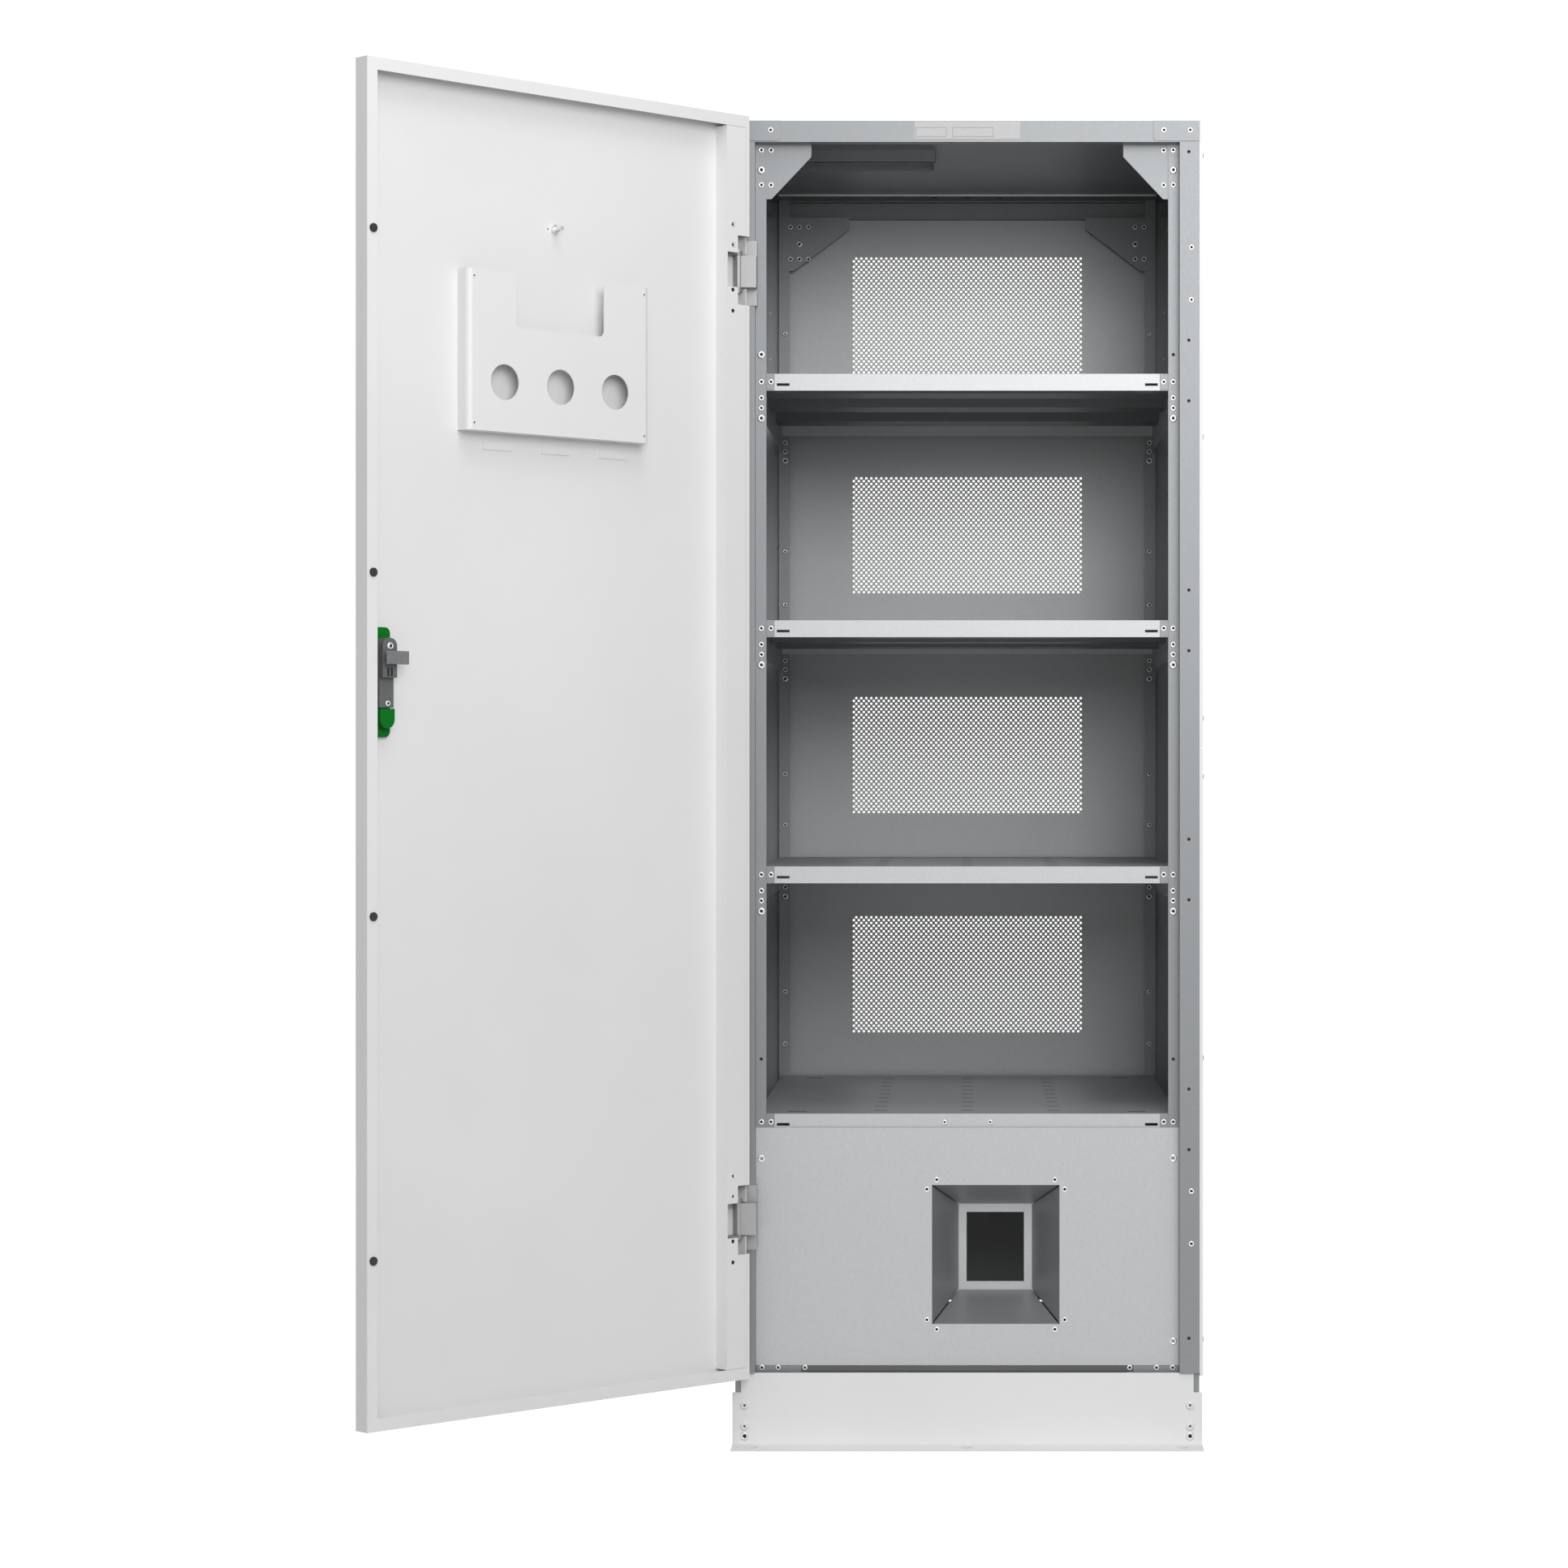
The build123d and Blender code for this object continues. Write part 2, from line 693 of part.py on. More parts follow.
def main():
    os.makedirs("parts", exist_ok=True)
    end = plinth_end()
    side = plinth_side()
    save("plinth_front", end)
    save("plinth_rear", mirrored_y(end))
    save("plinth_right", side)
    save("plinth_left", mirrored_x(side))
    corner = post()
    save("post_front_right", corner)
    save("post_front_left", mirrored_x(corner))
    save("post_rear_right", mirrored_y(corner))
    save("post_rear_left", mirrored_x(mirrored_y(corner)))
    levels = (("top", front, roof_under - rail_height, step_x, post_x),
              ("bottom", plinth_back, plinth_top - rail_height, post_x - plinth_sheet, post_x - plinth_sheet))
    for level, y0, z0, half_length, side_x in levels:
        rail = end_rail(y0, z0, half_length)
        save(f"{level}_rail_front", rail)
        save(f"{level}_rail_rear", mirrored_y(rail))
        rail = side_rail(side_x, z0)
        save(f"{level}_rail_right", rail)
        save(f"{level}_rail_left", mirrored_x(rail))
    plate = corner_plate()
    save("corner_plates", [plate, mirrored_x(plate)])
    plate = gusset(67, 83)
    save("gusset_front_right", plate)
    save("gusset_front_left", mirrored_x(plate))
    plate = mirrored_y(gusset(100, 90))
    save("gusset_rear_right", plate)
    save("gusset_rear_left", mirrored_x(plate))
    for number, z in enumerate(shelf_tops, 1):
        save(f"shelf_{number}", shelf(z))
        save(f"shelf_{number}_channels", shelf_hats(z))
    save("roof", roof())
    save("cable_entry_frame", entry_frame())
    save("cable_entry_cover", entry_cover())
    save("rear_panel", rear_panel())
    for level, z0, z1 in (("lower", panel_bottom, panel_split - panel_joint / 2),
                          ("upper", panel_split + panel_joint / 2, door_top)):
        panel = side_panel(z0, z1)
        save(f"side_panel_right_{level}", panel)
        save(f"side_panel_left_{level}", mirrored_x(panel))
    save("lower_cover", lower_cover())
    for name, wall in funnel_walls():
        save(name, wall)
    save("breaker_frame", breaker_frame())
    foot = cover_foot()
    save("cover_feet", [foot, mirrored_x(foot)])
    save("hinge_frame_leaves", [frame_leaf(z) for z in hinge_z])
    save("hinge_pins", [hinge_pin(z) for z in hinge_z])
    save("hinge_door_leaves", opened([door_leaf(z) for z in hinge_z]))
    save("door_pan", opened(door_pan()))
    save("door_channel", opened(door_channel()))
    save("document_pocket", opened(pocket()))
    save("pocket_tabs", opened(pocket_tabs()))
    save("door_buffers", opened(buffers()))
    save("earth_stud", opened(earth_stud()))
    save("latch_plate", opened(latch_plate()))
    save("latch_housing", opened(latch_housing()))
    save("latch_case", opened(latch_case()))
    save("latch_spindle", opened(spindle()))
    save("latch_lever", opened(lever()))
    save("lever_pin", opened(lever_pin()))
    save("key_barrel", opened(key_barrel()))


main()
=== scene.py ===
import json
from math import cos, pi, radians, sin

import bmesh
import bpy
from bpy.props import FloatProperty, FloatVectorProperty, PointerProperty
from mathutils import Matrix, Vector


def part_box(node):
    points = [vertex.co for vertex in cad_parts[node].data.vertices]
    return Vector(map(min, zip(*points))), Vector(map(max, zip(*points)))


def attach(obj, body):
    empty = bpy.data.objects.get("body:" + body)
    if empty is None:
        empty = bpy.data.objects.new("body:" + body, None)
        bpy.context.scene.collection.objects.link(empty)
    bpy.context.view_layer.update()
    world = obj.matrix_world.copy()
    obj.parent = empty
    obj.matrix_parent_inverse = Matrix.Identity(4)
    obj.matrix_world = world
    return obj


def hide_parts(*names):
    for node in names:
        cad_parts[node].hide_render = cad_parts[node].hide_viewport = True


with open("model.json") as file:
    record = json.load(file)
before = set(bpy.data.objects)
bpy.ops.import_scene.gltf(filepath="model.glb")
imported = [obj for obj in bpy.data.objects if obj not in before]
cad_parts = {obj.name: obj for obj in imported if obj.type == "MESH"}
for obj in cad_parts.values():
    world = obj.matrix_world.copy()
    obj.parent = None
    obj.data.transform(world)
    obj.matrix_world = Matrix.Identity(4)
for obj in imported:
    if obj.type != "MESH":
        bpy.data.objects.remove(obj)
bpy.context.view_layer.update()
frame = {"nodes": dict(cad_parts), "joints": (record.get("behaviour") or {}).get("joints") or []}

bl_info = {
    "name": "Battery Cabinet",
    "version": (1, 0, 0),
    "blender": (4, 5, 0),
    "location": "View3D > Sidebar > Cabinet",
    "description": "Finishes, fasteners and sheet-metal detail of a floor-standing battery cabinet",
    "category": "Object",
}

# Places read from the fixed frame, in metres
FRONT_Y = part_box("post_front_right")[0][1]
RAIL_LOW, RAIL_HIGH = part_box("top_rail_front")
COVER_LOW, COVER_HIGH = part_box("lower_cover")
INNER_Y = COVER_HIGH[1]
COVER_Y = COVER_LOW[1]
CORNER_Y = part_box("corner_plates")[0][1]
REAR_LOW, REAR_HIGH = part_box("rear_panel")
PLINTH_LOW, PLINTH_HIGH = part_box("plinth_front")
SHELF_TOPS = [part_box(f"shelf_{n}")[1][2] for n in (1, 2, 3, 4)]
ROOF_LOW, ROOF_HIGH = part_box("roof")
DOOR_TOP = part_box("door_pan")[1][2]
WINDOW_LOW, WINDOW_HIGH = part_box("breaker_frame")
FUNNEL_X = (WINDOW_LOW[0] + WINDOW_HIGH[0]) / 2
FUNNEL_Z = (WINDOW_LOW[2] + WINDOW_HIGH[2]) / 2
HINGE = next(j for j in frame["joints"] if j["name"] == "door_hinge")
PIVOT = Vector(HINGE["pos_m"])
SWING = radians(HINGE["range_deg"][1])
# Takes a point of the shut door to its open rest place
OPEN_DOOR = Matrix.Translation(PIVOT) @ Matrix.Rotation(-SWING, 4, "Z") @ Matrix.Translation(-PIVOT)

# Sizes of the door, shut, in metres
DOOR_EDGE_X = -0.347
DOOR_INNER_Y = FRONT_Y - 0.004
DOOR_SKIN_Y = FRONT_Y - 0.0285
HINGE_HEIGHTS = (0.3395, 1.741)
LATCH_X = 0.308
LATCH_Z = 1.155
BARREL_Z = LATCH_Z - 0.084

# Strength of the glow that only the camera and mirror rays see
BACKDROP_GLOW = 0.85
# Faint glow of the dark plane inside the plinth: painted light
SHADE_GLOW = 0.1

# Fasteners
RIVET_RADIUS = 0.0042
RIVET_HOLE = 0.0022
PAN_RADIUS = 0.0058
PLINTH_SCREW_RADIUS = 0.00615
COUNTERSUNK_RADIUS = 0.0042
SMALL_PAN_RADIUS = 0.0045
HOLE_RADIUS = 0.0025


# ---- materials ----
def new_material(name):
    material = bpy.data.materials.new(name)
    material.use_nodes = True
    nodes = material.node_tree.nodes
    return material, nodes, material.node_tree.links, nodes["Principled BSDF"]


def add_noise(nodes, links, scale, detail, stretch=(1, 1, 1)):
    """Noise in object space, in metres."""
    coords = nodes.new("ShaderNodeTexCoord")
    mapping = nodes.new("ShaderNodeMapping")
    mapping.inputs["Scale"].default_value = stretch
    noise = nodes.new("ShaderNodeTexNoise")
    noise.inputs["Scale"].default_value = scale
    noise.inputs["Detail"].default_value = detail
    links.new(coords.outputs["Object"], mapping.inputs["Vector"])
    links.new(mapping.outputs["Vector"], noise.inputs["Vector"])
    return noise


def add_ramp(nodes, links, source, low, high, start=0.35, end=0.65):
    """Two-colour ramp over a grey source."""
    ramp = nodes.new("ShaderNodeValToRGB")
    ramp.color_ramp.elements[0].position = start
    ramp.color_ramp.elements[0].color = (*low, 1)
    ramp.color_ramp.elements[1].position = end
    ramp.color_ramp.elements[1].color = (*high, 1)
    links.new(source, ramp.inputs["Fac"])
    return ramp.outputs["Color"]


def add_bump(nodes, links, shader, source, strength, distance):
    bump = nodes.new("ShaderNodeBump")
    bump.inputs["Strength"].default_value = strength
    bump.inputs["Distance"].default_value = distance
    links.new(source, bump.inputs["Height"])
    links.new(bump.outputs["Normal"], shader.inputs["Normal"])


def powder_coat(color, name="white_powder_coat"):
    """Satin paint with the fine orange peel of a powder coat."""
    material, nodes, links, shader = new_material(name)
    peel = add_noise(nodes, links, 900, 2)
    cloud = add_noise(nodes, links, 3, 3)
    dark = tuple(c * 0.965 for c in color)
    links.new(add_ramp(nodes, links, cloud.outputs["Fac"], dark, color), shader.inputs["Base Color"])
    shader.inputs["Roughness"].default_value = 0.42
    add_bump(nodes, links, shader, peel.outputs["Fac"], 0.12, 0.0002)
    return material


def galvanised(color, name="galvanised_steel", dark=0.93):
    """Hot-dip galvanised sheet: soft spangle, rolling grain and a dull shine."""
    material, nodes, links, shader = new_material(name)
    grain = add_noise(nodes, links, 420, 4, (1, 1, 0.4))
    spangle = nodes.new("ShaderNodeTexVoronoi")
    spangle.inputs["Scale"].default_value = 240
    coords = nodes.new("ShaderNodeTexCoord")
    links.new(coords.outputs["Object"], spangle.inputs["Vector"])
    mix = nodes.new("ShaderNodeMath")
    mix.operation = "MULTIPLY_ADD"
    mix.inputs[1].default_value = 0.35
    links.new(spangle.outputs["Distance"], mix.inputs[0])
    links.new(grain.outputs["Fac"], mix.inputs[2])
    low = tuple(c * dark for c in color)
    links.new(add_ramp(nodes, links, mix.outputs["Value"], low, color, 0.4, 0.8), shader.inputs["Base Color"])
    shader.inputs["Metallic"].default_value = 0.55
    rough = nodes.new("ShaderNodeMapRange")
    rough.inputs["To Min"].default_value = 0.38
    rough.inputs["To Max"].default_value = 0.52
    links.new(grain.outputs["Fac"], rough.inputs["Value"])
    links.new(rough.outputs["Result"], shader.inputs["Roughness"])
    add_bump(nodes, links, shader, grain.outputs["Fac"], 0.05, 0.0002)
    return material


def bright_zinc():
    material, nodes, links, shader = new_material("bright_zinc")
    haze = add_noise(nodes, links, 400, 2)
    links.new(add_ramp(nodes, links, haze.outputs["Fac"], (0.72, 0.73, 0.74), (0.84, 0.85, 0.86)),
              shader.inputs["Base Color"])
    shader.inputs["Metallic"].default_value = 0.6
    shader.inputs["Roughness"].default_value = 0.3
    return material


def plain_grain(name, low, high, roughness, scale, bump, shine=0.5):
    """Cast, moulded or rubber surface with a fine grain; it also makes the painted shade of holes and of the
    ground inside the plinth.
    """
    material, nodes, links, shader = new_material(name)
    grain = add_noise(nodes, links, scale, 3)
    links.new(add_ramp(nodes, links, grain.outputs["Fac"], low, high), shader.inputs["Base Color"])
    shader.inputs["Roughness"].default_value = roughness
    shader.inputs["Specular IOR Level"].default_value = shine
    add_bump(nodes, links, shader, grain.outputs["Fac"], bump, 0.0002)
    return material


# ---- mesh helpers ----
def finish_piece(name, mesh, body, material, second=None):
    """Links a mesh as a piece that rides on a body; second is the finish of faces with index 1."""
    piece = bpy.data.objects.new(name, mesh)
    bpy.context.scene.collection.objects.link(piece)
    mesh.materials.append(material)
    if second:
        mesh.materials.append(second)
    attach(piece, body)
    return piece


def soften(piece, width):
    """Rounds the sharp edges of a piece without changing its mesh."""
    edge = piece.modifiers.new("rounded_edges", "BEVEL")
    edge.width = width
    edge.segments = 2
    edge.limit_method = "ANGLE"
    edge.angle_limit = radians(50)
    edge.use_clamp_overlap = True


def lathe(bm, profile, place, steps, material_index=0):
    """Turns a profile of (radius, height) about the local Z axis and closes both ends."""
    angles = [2 * pi * k / steps for k in range(steps)]
    rings = [[bm.verts.new(place @ Vector((radius * cos(a), radius * sin(a), height))) for a in angles]
             for radius, height in profile]
    for lower, upper in zip(rings, rings[1:]):
        for k in range(steps):
            n = (k + 1) % steps
            face = bm.faces.new((lower[k], lower[n], upper[n], upper[k]))
            face.smooth = True
            face.material_index = material_index
    bm.faces.new(list(reversed(rings[0]))).material_index = material_index
    bm.faces.new(rings[-1]).material_index = material_index


def facing(point, direction):
    """Matrix that puts local Z along a direction at a point."""
    turn = Vector(direction).to_track_quat("Z", "Y").to_matrix().to_4x4()
    return Matrix.Translation(Vector(point)) @ turn


def torx_recess(bm, place, radius, top, depth, index):
    """Six-lobed drive recess drawn as a dark well in the screw head; where its finish is the near-black hole
    finish, the dark is painted shade.
    """
    steps = 24
    rim = []
    for k in range(steps):
        a = 2 * pi * k / steps
        r = radius * (0.84 + 0.16 * cos(6 * a))
        rim.append((r * cos(a), r * sin(a)))
    ring = [bm.verts.new(place @ Vector((x, y, top))) for x, y in rim]
    deep = [bm.verts.new(place @ Vector((0.8 * x, 0.8 * y, top - depth))) for x, y in rim]
    for k in range(steps):
        n = (k + 1) % steps
        bm.faces.new((ring[n], ring[k], deep[k], deep[n])).material_index = index
    bm.faces.new(deep).material_index = index


def add_pan_screw(bm, point, direction, radius=PAN_RADIUS, drive=0.42):
    """Pan head screw with a Torx recess."""
    place = facing(point, direction)
    r = radius
    h = 0.5 * r
    profile = [(r, 0), (r, h * 0.35), (r * 0.93, h * 0.66), (r * 0.75, h * 0.9), (r * drive, h),
               (r * drive * 0.99, h * 0.35)]
    lathe(bm, profile, place, 20)
    torx_recess(bm, place, r * drive, h, h * 0.6, 1)


def add_flat_screw(bm, point, direction, radius=COUNTERSUNK_RADIUS):
    """Countersunk screw, its head almost flush."""
    place = facing(point, direction)
    r = radius
    lathe(bm, [(r, 0), (r, 0.0002), (r * 0.95, 0.0004), (r * 0.5, 0.0004), (r * 0.499, 0.0001)], place, 20)
    torx_recess(bm, place, r * 0.5, 0.0004, 0.0003, 1)


def add_rivet(bm, point, direction, radius=RIVET_RADIUS):
    """Blind rivet: domed flange round the hole of the pulled mandrel, lined in the near-black finish of
    painted shade.
    """
    place = facing(point, direction)
    h = 0.0008
    profile = [(radius, 0), (radius * 0.96, h * 0.5), (radius * 0.8, h * 0.9), (RIVET_HOLE * 1.25, h),
               (RIVET_HOLE, h * 0.7)]
    lathe(bm, profile, place, 16)
    lathe(bm, [(RIVET_HOLE * 0.999, h * 0.2), (RIVET_HOLE * 0.998, h * 0.72)], place, 12, 1)


def add_hole(bm, point, direction, radius):
    """Punched hole, shown as a thin dark disc on the sheet: painted shade in the opening."""
    place = facing(point, direction)
    lathe(bm, [(radius, 0), (radius * 0.98, 0.00012)], place, 18, 1)


def add_box(bm, low, high, place=None, index=0, bevel=0.0):
    """Box between two corners, with a small bevel if asked."""
    part = bmesh.new()
    bmesh.ops.create_cube(part, size=1)
    size = Vector(high) - Vector(low)
    middle = (Vector(high) + Vector(low)) / 2
    for v in part.verts:
        v.co = Vector((v.co.x * size.x, v.co.y * size.y, v.co.z * size.z)) + middle
    if bevel:
        bmesh.ops.bevel(part, geom=part.edges[:], offset=bevel, segments=2, affect="EDGES", profile=0.5)
    moved = {v: bm.verts.new(place @ v.co if place else v.co) for v in part.verts}
    for f in part.faces:
        face = bm.faces.new([moved[v] for v in f.verts])
        face.material_index = index
    part.free()


def mesh_from(bm, name):
    bmesh.ops.recalc_face_normals(bm, faces=bm.faces[:])
    mesh = bpy.data.meshes.new(name)
    bm.to_mesh(mesh)
    bm.free()
    return mesh


def node_corners(name):
    """Vertices of a node of the frame, in metres in the world."""
    node = frame["nodes"][name]
    return [node.matrix_world @ v.co for v in node.data.vertices]


def door_point(s, y, z):
    """Point of the open door, s along it from the hinge edge."""
    return OPEN_DOOR @ Vector((DOOR_EDGE_X + s, y, z))


def add_piece(name, bm, body, finish, second=None):
    """Makes a piece of the faces in bm, with its finishes given by name."""
    material = MATERIALS[finish]
    return finish_piece(name, mesh_from(bm, name), body, material, second and MATERIALS[second])


INWARD = OPEN_DOOR.to_3x3() @ Vector((0, 1, 0))
FORWARD = Vector((0, -1, 0))


# ---- settings ----
class CabinetFinish(bpy.types.PropertyGroup):
    paint: FloatVectorProperty(name="Paint", description="Colour of the powder coat", subtype="COLOR",
                               default=(0.80, 0.80, 0.80), min=0, max=1)
    zinc_sheet: FloatVectorProperty(name="Galvanised sheet", description="Colour of the steel frame",
                                    subtype="COLOR", default=(0.245, 0.256, 0.264), min=0, max=1)
    bright_sheet: FloatVectorProperty(name="Bright sheet", description="Colour of the shelves and covers",
                                      subtype="COLOR", default=(0.46, 0.47, 0.48), min=0, max=1)
    funnel_sheet: FloatVectorProperty(name="Funnel sheet", description="Colour of the funnel's four sheets",
                                      subtype="COLOR", default=(0.32, 0.33, 0.34), min=0, max=1)
    latch_green: FloatVectorProperty(name="Latch housing", description="Colour of the latch housing",
                                     subtype="COLOR", default=(0.0, 0.17, 0.012), min=0, max=1)
    edge_radius: FloatProperty(name="Edge radius", description="Radius of the folded edges", default=0.0007,
                               min=0, max=0.002, subtype="DISTANCE", unit="LENGTH")


class CabinetPerforation(bpy.types.PropertyGroup):
    hole: FloatProperty(name="Hole diameter", description="Diameter of the air holes", default=0.0044,
                        subtype="DISTANCE", unit="LENGTH")
    pitch_x: FloatProperty(name="Column pitch", description="Distance between holes in a row",
                           default=0.00844, subtype="DISTANCE", unit="LENGTH")
    pitch_z: FloatProperty(name="Row pitch", description="Height from one row to the next", default=0.0047,
                           subtype="DISTANCE", unit="LENGTH")
    field_width: FloatProperty(name="Field width", description="Width of each perforated field",
                               default=0.389, subtype="DISTANCE", unit="LENGTH")
    field_height: FloatProperty(name="Field height", description="Height of each perforated field",
                                default=0.2005, subtype="DISTANCE", unit="LENGTH")


class CabinetStage(bpy.types.PropertyGroup):
    distance: FloatProperty(name="Camera distance", description="From the camera to the front of the frame",
                            default=5.866, subtype="DISTANCE", unit="LENGTH")
    height: FloatProperty(name="Camera height", description="Height of the camera over the floor",
                          default=0.983, subtype="DISTANCE", unit="LENGTH")
    lens: FloatProperty(name="Lens", description="Focal length in millimetres on a 36 mm sensor",
                        default=90.7)
    shift: FloatProperty(name="Shift", description="Sideways shift of the lens", default=-0.1169)
    lamp: FloatProperty(name="Lamp power", description="Watts of which each soft lamp gives its share",
                        default=108.0)
    world: FloatProperty(name="Sky strength", description="Strength of the even light", default=0.34)


WHITE_NODES = ("plinth", "side_panel", "door_pan", "door_channel", "document_pocket", "pocket_tabs")
SHEET_NODES = ("shelf_1", "shelf_2", "shelf_3", "shelf_4", "lower_cover", "breaker_frame")
MATERIALS = {}


def node_material(name):
    """Finish of a node of the frame."""
    if name.startswith(WHITE_NODES):
        return MATERIALS["paint"]
    if name == "rear_panel":
        return MATERIALS["rear"]
    if name == "door_buffers":
        return MATERIALS["rubber"]
    if name == "latch_housing":
        return MATERIALS["green"]
    if name in ("latch_case", "latch_plate", "latch_lever"):
        return MATERIALS["cast"]
    if name == "latch_spindle":
        return MATERIALS["cast_light"]
    if name in ("hinge_pins", "earth_stud", "lever_pin", "key_barrel"):
        return MATERIALS["bright"]
    if name == "hinge_frame_leaves":
        return MATERIALS["leaf"]
    if name in SHEET_NODES:
        return MATERIALS["sheet"]
    if name.startswith("funnel"):
        return MATERIALS["funnel"]
    # Shelf channels take the darkened zinc of painted shade
    if name.endswith("_channels"):
        return MATERIALS["channel"]
    return MATERIALS["zinc"]


class CABINET_OT_finishes(bpy.types.Operator):
    """Make the finishes, put them on the frame's nodes and round their folded edges"""
    bl_idname = "cabinet.finishes"
    bl_label = "Finishes"

    def execute(self, context):
        settings = context.scene.cabinet_finish
        MATERIALS["paint"] = powder_coat(tuple(settings.paint))
        MATERIALS["zinc"] = galvanised(tuple(settings.zinc_sheet))
        MATERIALS["sheet"] = galvanised(tuple(settings.bright_sheet), "bright_galvanised_sheet")
        MATERIALS["funnel"] = galvanised(tuple(settings.funnel_sheet), "funnel_sheet")
        # Rear sheet: the shelf sheet darkened to 0.8 for the inside of the cabinet, painted shade
        MATERIALS["rear"] = galvanised(tuple(c * 0.8 for c in settings.bright_sheet), "rear_sheet_steel")
        # Channels under the shelves: the frame zinc at half brightness, painted shade under the shelves
        MATERIALS["channel"] = galvanised(tuple(c * 0.5 for c in settings.zinc_sheet), "painted_shade_channel_steel")
        MATERIALS["leaf"] = galvanised((0.36, 0.36, 0.36), "hinge_steel")
        MATERIALS["bright"] = bright_zinc()
        MATERIALS["rubber"] = plain_grain("black_rubber", (0.012, 0.012, 0.012), (0.03, 0.03, 0.03),
                                          0.6, 500, 0.1)
        MATERIALS["cast"] = plain_grain("grey_die_cast", (0.105, 0.108, 0.112), (0.135, 0.14, 0.145),
                                        0.45, 700, 0.1)
        MATERIALS["cast_light"] = plain_grain("tongue_die_cast", (0.15, 0.155, 0.16), (0.2, 0.205, 0.21),
                                              0.45, 600, 0.1)
        green = tuple(settings.latch_green)
        MATERIALS["green"] = plain_grain("green_plastic", tuple(c * 0.85 for c in green), green,
                                         0.45, 500, 0.08, 0.15)
        # Near-black finish of holes, slots and recesses: painted shade
        MATERIALS["hole"] = plain_grain("hole_shadow", (0.004, 0.004, 0.004), (0.012, 0.012, 0.012),
                                        0.8, 300, 0.05)
        MATERIALS["label"] = plain_grain("label_film", (0.47, 0.47, 0.47), (0.50, 0.50, 0.50), 0.5, 300, 0.03)
        for name, node in frame["nodes"].items():
            material = node_material(name)
            if node.material_slots:
                for slot in node.material_slots:
                    slot.material = material
            else:
                node.data.materials.append(material)
            soften(node, settings.edge_radius)
        return {"FINISHED"}


class CABINET_OT_rear_panel(bpy.types.Operator):
    """Rear sheet with its four fields of fine round holes"""
    bl_idname = "cabinet.rear_panel"
    bl_label = "Rear panel"

    field_tops = (0.762, 1.133, 1.505, 1.877)

    def execute(self, context):
        p = context.scene.cabinet_perforation
        columns = round(p.field_width / p.pitch_x)
        rows = round((p.field_height - p.pitch_z) / p.pitch_z)
        half_w = columns * p.pitch_x / 2 + p.pitch_x / 4
        verts, faces = [], []
        y0, y1 = REAR_LOW[1], REAR_HIGH[1]
        bands = []
        for top in self.field_tops:
            bottom = top - (rows + 1) * p.pitch_z
            bands.append((bottom, top))
            self.perforate(verts, faces, -half_w, bottom, columns, rows, p, y0, y1)
        self.surround(verts, faces, half_w, bands, y0, y1)
        mesh = bpy.data.meshes.new("rear_sheet")
        mesh.from_pydata(verts, [], faces)
        mesh.update()
        piece = finish_piece("rear_sheet", mesh, "cabinet", MATERIALS["rear"])
        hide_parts("rear_panel")
        return {"FINISHED"}

    @staticmethod
    def perforate(verts, faces, x0, z0, columns, rows, p, y0, y1):
        """One field: a rhombic cell round each hole, and triangles that straighten the field's edge."""
        a, b, r = p.pitch_x / 2, p.pitch_z, p.hole / 2
        for row in range(rows):
            shift = a if row % 2 else 0
            z = z0 + b * (row + 1)
            for column in range(columns):
                x = x0 + a + shift + column * p.pitch_x
                base = len(verts)
                for y in (y0, y1):
                    for dx, dz in ((a, 0), (0, b), (-a, 0), (0, -b)):
                        verts.append((x + dx, y, z + dz))
                    for k in range(8):
                        t = pi * k / 4
                        verts.append((x + r * cos(t), y, z + r * sin(t)))
                for k in range(4):
                    n = (k + 1) % 4
                    ring = [4 + 2 * k, 4 + 2 * k + 1, 4 + (2 * k + 2) % 8]
                    faces.append((base + k, base + n, base + ring[2], base + ring[1], base + ring[0]))
                    back = base + 12
                    faces.append((back + ring[0], back + ring[1], back + ring[2], back + n, back + k))
                for k in range(8):
                    n = (k + 1) % 8
                    faces.append((base + 4 + k, base + 4 + n, base + 16 + n, base + 16 + k))
        span = columns * p.pitch_x + a
        top = z0 + b * (rows + 1)

        def fill(points):
            base = len(verts)
            for y in (y0, y1):
                verts.extend((x, y, z) for x, z in points)
            n = len(points)
            faces.append(tuple(range(base, base + n)))
            faces.append(tuple(reversed(range(base + n, base + 2 * n))))

        for row in range(rows):
            z = z0 + b * (row + 1)
            x_left = x0 + (a if row % 2 else 0)
            x_right = x_left + columns * p.pitch_x
            if row % 2:
                fill([(x0, z - b), (x_left, z), (x0, z + b)])
            else:
                fill([(x_right, z), (x0 + span, z - b), (x0 + span, z + b)])
        for edge, row in ((z0, 0), (top, rows - 1)):
            shift = a if row % 2 else 0
            z = z0 + b * (row + 1)
            for column in range(columns + 1):
                x = x0 + shift + column * p.pitch_x
                left = max(x - a, x0)
                right = min(x + a, x0 + span)
                fill([(left, edge), (right, edge), (x, z)])

    @staticmethod
    def surround(verts, faces, half_w, bands, y0, y1):
        """Plain sheet round the fields."""
        x0, x1 = REAR_LOW[0], REAR_HIGH[0]
        levels = [REAR_LOW[2]] + [z for band in bands for z in band] + [REAR_HIGH[2]]
        for i, (low, high) in enumerate(zip(levels, levels[1:])):
            spans = [(x0, -half_w), (half_w, x1)] if i % 2 else [(x0, x1)]
            for left, right in spans:
                base = len(verts)
                for y in (y0, y1):
                    verts.extend(((left, y, low), (right, y, low), (right, y, high), (left, y, high)))
                faces.append((base, base + 1, base + 2, base + 3))
                faces.append((base + 7, base + 6, base + 5, base + 4))
        for points in (((x0, levels[0]), (x1, levels[0])), ((x1, levels[0]), (x1, levels[-1])),
                       ((x1, levels[-1]), (x0, levels[-1])), ((x0, levels[-1]), (x0, levels[0]))):
            base = len(verts)
            for x, z in points:
                verts.extend(((x, y0, z), (x, y1, z)))
            faces.append((base, base + 1, base + 3, base + 2))


